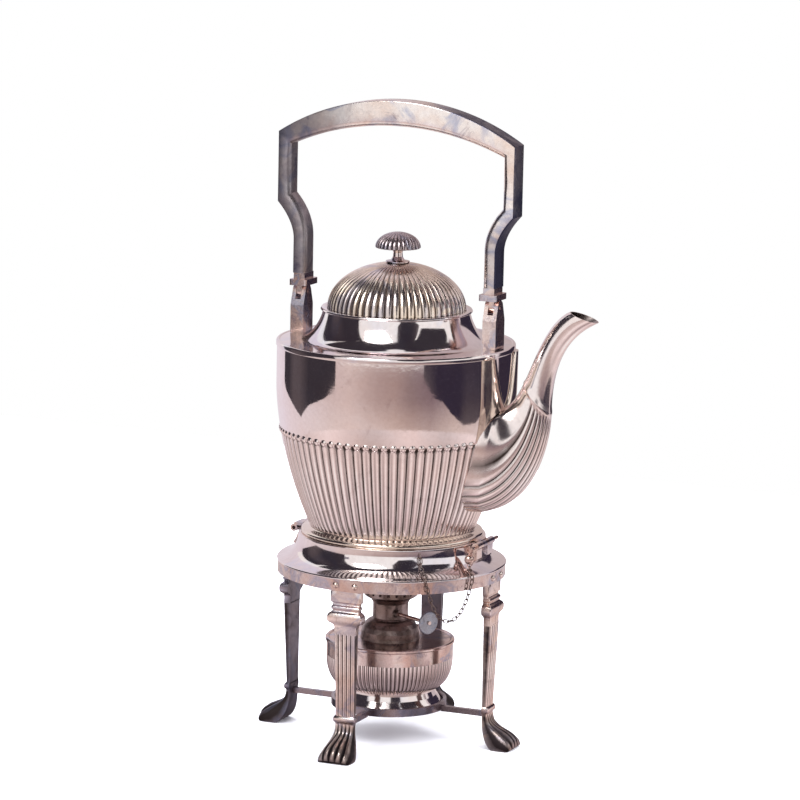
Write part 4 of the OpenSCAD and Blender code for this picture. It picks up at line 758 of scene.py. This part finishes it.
def screen(name, dist, points):
    """A standing card round the kettle, dist metres off.

    points = (degrees right of the camera, lowest and highest elevation, colour below, colour above)
    """
    verts, tints, n = [], [], 0
    for p, q in zip(points, points[1:]):
        steps = max(1, round(abs(q[0] - p[0]) / 2))
        for k in range(steps + (q is points[-1])):
            f = k / steps
            a = HEADING + math.radians(p[0] + (q[0] - p[0]) * f)
            for i in (1, 2):
                el = p[i] + (q[i] - p[i]) * f
                verts.append((dist * math.cos(a), dist * math.sin(a),
                              CARD_Z + dist * math.tan(math.radians(el))))
                tints.append(tuple(u + (v - u) * f for u, v in zip(p[i + 2], q[i + 2])))
            n += 1
    panel(name, verts, [(2 * k, 2 * k + 2, 2 * k + 3, 2 * k + 1) for k in range(n - 1)], tints)


# dark tones of the room
D1, D2, D3 = (0.042, 0.036, 0.046), (0.036, 0.029, 0.040), (0.034, 0.026, 0.046)
SOFT = (0.11, 0.09, 0.10)
screen("dark_left", 0.42, [(-127, -8, 36, D1, D2), (-117, -11, 40, D1, D2), (-108, -14, 44, SOFT, D2),
                           (-99, -17, 46, SOFT, D2), (-86, -13, 50, D1, D2), (-70, -10, 52, D1, D2),
                           (-62, -8, 54, D1, D2), (-55, -7, -2, D1, D2)])
screen("dark_right", 0.42, [(25, -6, -4, SOFT, D3), (38, -8, -2, D3, D3), (44, -9, -2, D3, D3),
                            (52, -14, -2, D3, D3), (60, -17, -2, D3, D3), (68, -19, -2, SOFT, D3),
                            (82, -18, -4, SOFT, D3), (90, -14, -5, D3, D3), (100, -8, -6, D3, D3)])
screen("dark_neck", 0.45, [(2, 26, 60, SOFT, D2), (8, 4, 60, D1, D2), (24, 2, 60, D1, D2),
                           (34, 20, 60, SOFT, D2)])
screen("dark_handle", 0.43, [(-66, 0, 9, (0.34, 0.32, 0.37), (0.26, 0.25, 0.30)),
                             (-50, 0, 8, (0.34, 0.32, 0.37), (0.28, 0.27, 0.32))])
screen("dark_side", 0.55, [(112, -12, 16, D3, D3), (152, -12, 16, D3, D3)])
screen("dark_above", 0.48, [(az, low, 84, D1, D2) for az, low in (
    (-135, 40), (-62, 54), (-30, 66), (0, 60), (36, 52), (38, 28), (78, 26), (92, 46), (130, 46))])
screen("haze_middle", 0.50, [(-140, -22, 1, (0.86, 0.80, 0.88), (0.84, 0.78, 0.88)),
                             (-118, -22, 1, (0.86, 0.78, 0.82), (0.76, 0.68, 0.74)),
                             (-62, -22, -5, (0.80, 0.71, 0.70), (0.66, 0.55, 0.55)),
                             (-42, -22, -5.5, (0.80, 0.69, 0.67), (0.68, 0.56, 0.54)),
                             (-15, -22, -5.5, (0.70, 0.58, 0.55), (0.44, 0.34, 0.33)),
                             (0, -22, -5.5, (0.64, 0.52, 0.48), (0.40, 0.30, 0.29)),
                             (14, -22, -5.5, (0.56, 0.45, 0.42), (0.26, 0.19, 0.20)),
                             (34, -22, -5.5, (0.50, 0.40, 0.38), (0.20, 0.14, 0.17)),
                             (60, -22, -4, (0.70, 0.58, 0.54), (0.34, 0.27, 0.28)),
                             (104, -22, 0, (0.80, 0.70, 0.70), (0.5, 0.42, 0.44))])
screen("haze_behind", 0.60, [(108, -24, 70, (0.70, 0.62, 0.66), (0.60, 0.52, 0.56)),
                             (150, -24, 70, (0.60, 0.52, 0.54), (0.50, 0.42, 0.44)),
                             (176, -24, 70, (0.60, 0.51, 0.51), (0.44, 0.35, 0.34)),
                             (186, -24, 70, (0.80, 0.73, 0.79), (0.76, 0.69, 0.75)),
                             (220, -24, 70, (0.86, 0.80, 0.88), (0.84, 0.78, 0.86))])


def under_tone(az, dist):
    """The table's colour in reflections: darker near the stand, with paler and darker lobes round it."""
    stops = [(0.05, (0.26, 0.21, 0.23)), (0.15, (0.56, 0.46, 0.47)), (0.26, (0.82, 0.70, 0.70)),
             (0.40, (0.74, 0.63, 0.62)), (0.6, (0.84, 0.75, 0.76)), (1.4, (0.9, 0.86, 0.92))]
    for (r0, c0), (r1, c1) in zip(stops, stops[1:]):
        if dist <= r1:
            break
    f = min(1, max(0, (dist - r0) / (r1 - r0)))
    lobes = sum(h * math.exp(-((az - at) / wide) ** 2) for at, wide, h in (
        (-66, 18, 0.55), (-118, 16, -0.45), (-22, 14, -0.36),
        (14, 14, 0.45), (50, 11, -0.32), (84, 18, 0.55)))
    lobes *= 1.25 - 0.85 * step(0.24, 0.4, dist)
    return tuple(min(1.0, (u + (v - u) * f) * (1 + lobes)) for u, v in zip(c0, c1))


RADII, TURNS = [0.03, 0.08, 0.15, 0.22, 0.3, 0.38, 0.48, 0.6, 0.9, 1.4], 72
verts, tints = [], []
for r in RADII:
    for k in range(TURNS):
        a = HEADING + math.radians(5 * k)
        verts.append((r * math.cos(a), r * math.sin(a), -0.002))
        tints.append(under_tone(5 * k if k <= 36 else 5 * k - 360, r))
_, quads = grid([[0] * TURNS] * len(RADII))
panel("haze_floor", verts, quads + [tuple(range(TURNS))], tints)

LAMP_DIST = 1.3
for name, az, el, size, power, shown in (("key", -35, 50, 0.6, 8, True), ("fill", 55, 30, 0.5, 8, False),
                                         ("top", 160, 65, 0.8, 14, False)):
    data = bpy.data.lights.new(name, "AREA")
    data.energy, data.size = power, size
    ob = bpy.data.objects.new(name, data)
    scene.collection.objects.link(ob)
    ob.visible_glossy = shown
    spot = compass(az, el, LAMP_DIST)
    ob.location = spot
    ob.rotation_euler = (MIDDLE - spot).to_track_quat("-Z", "Y").to_euler()
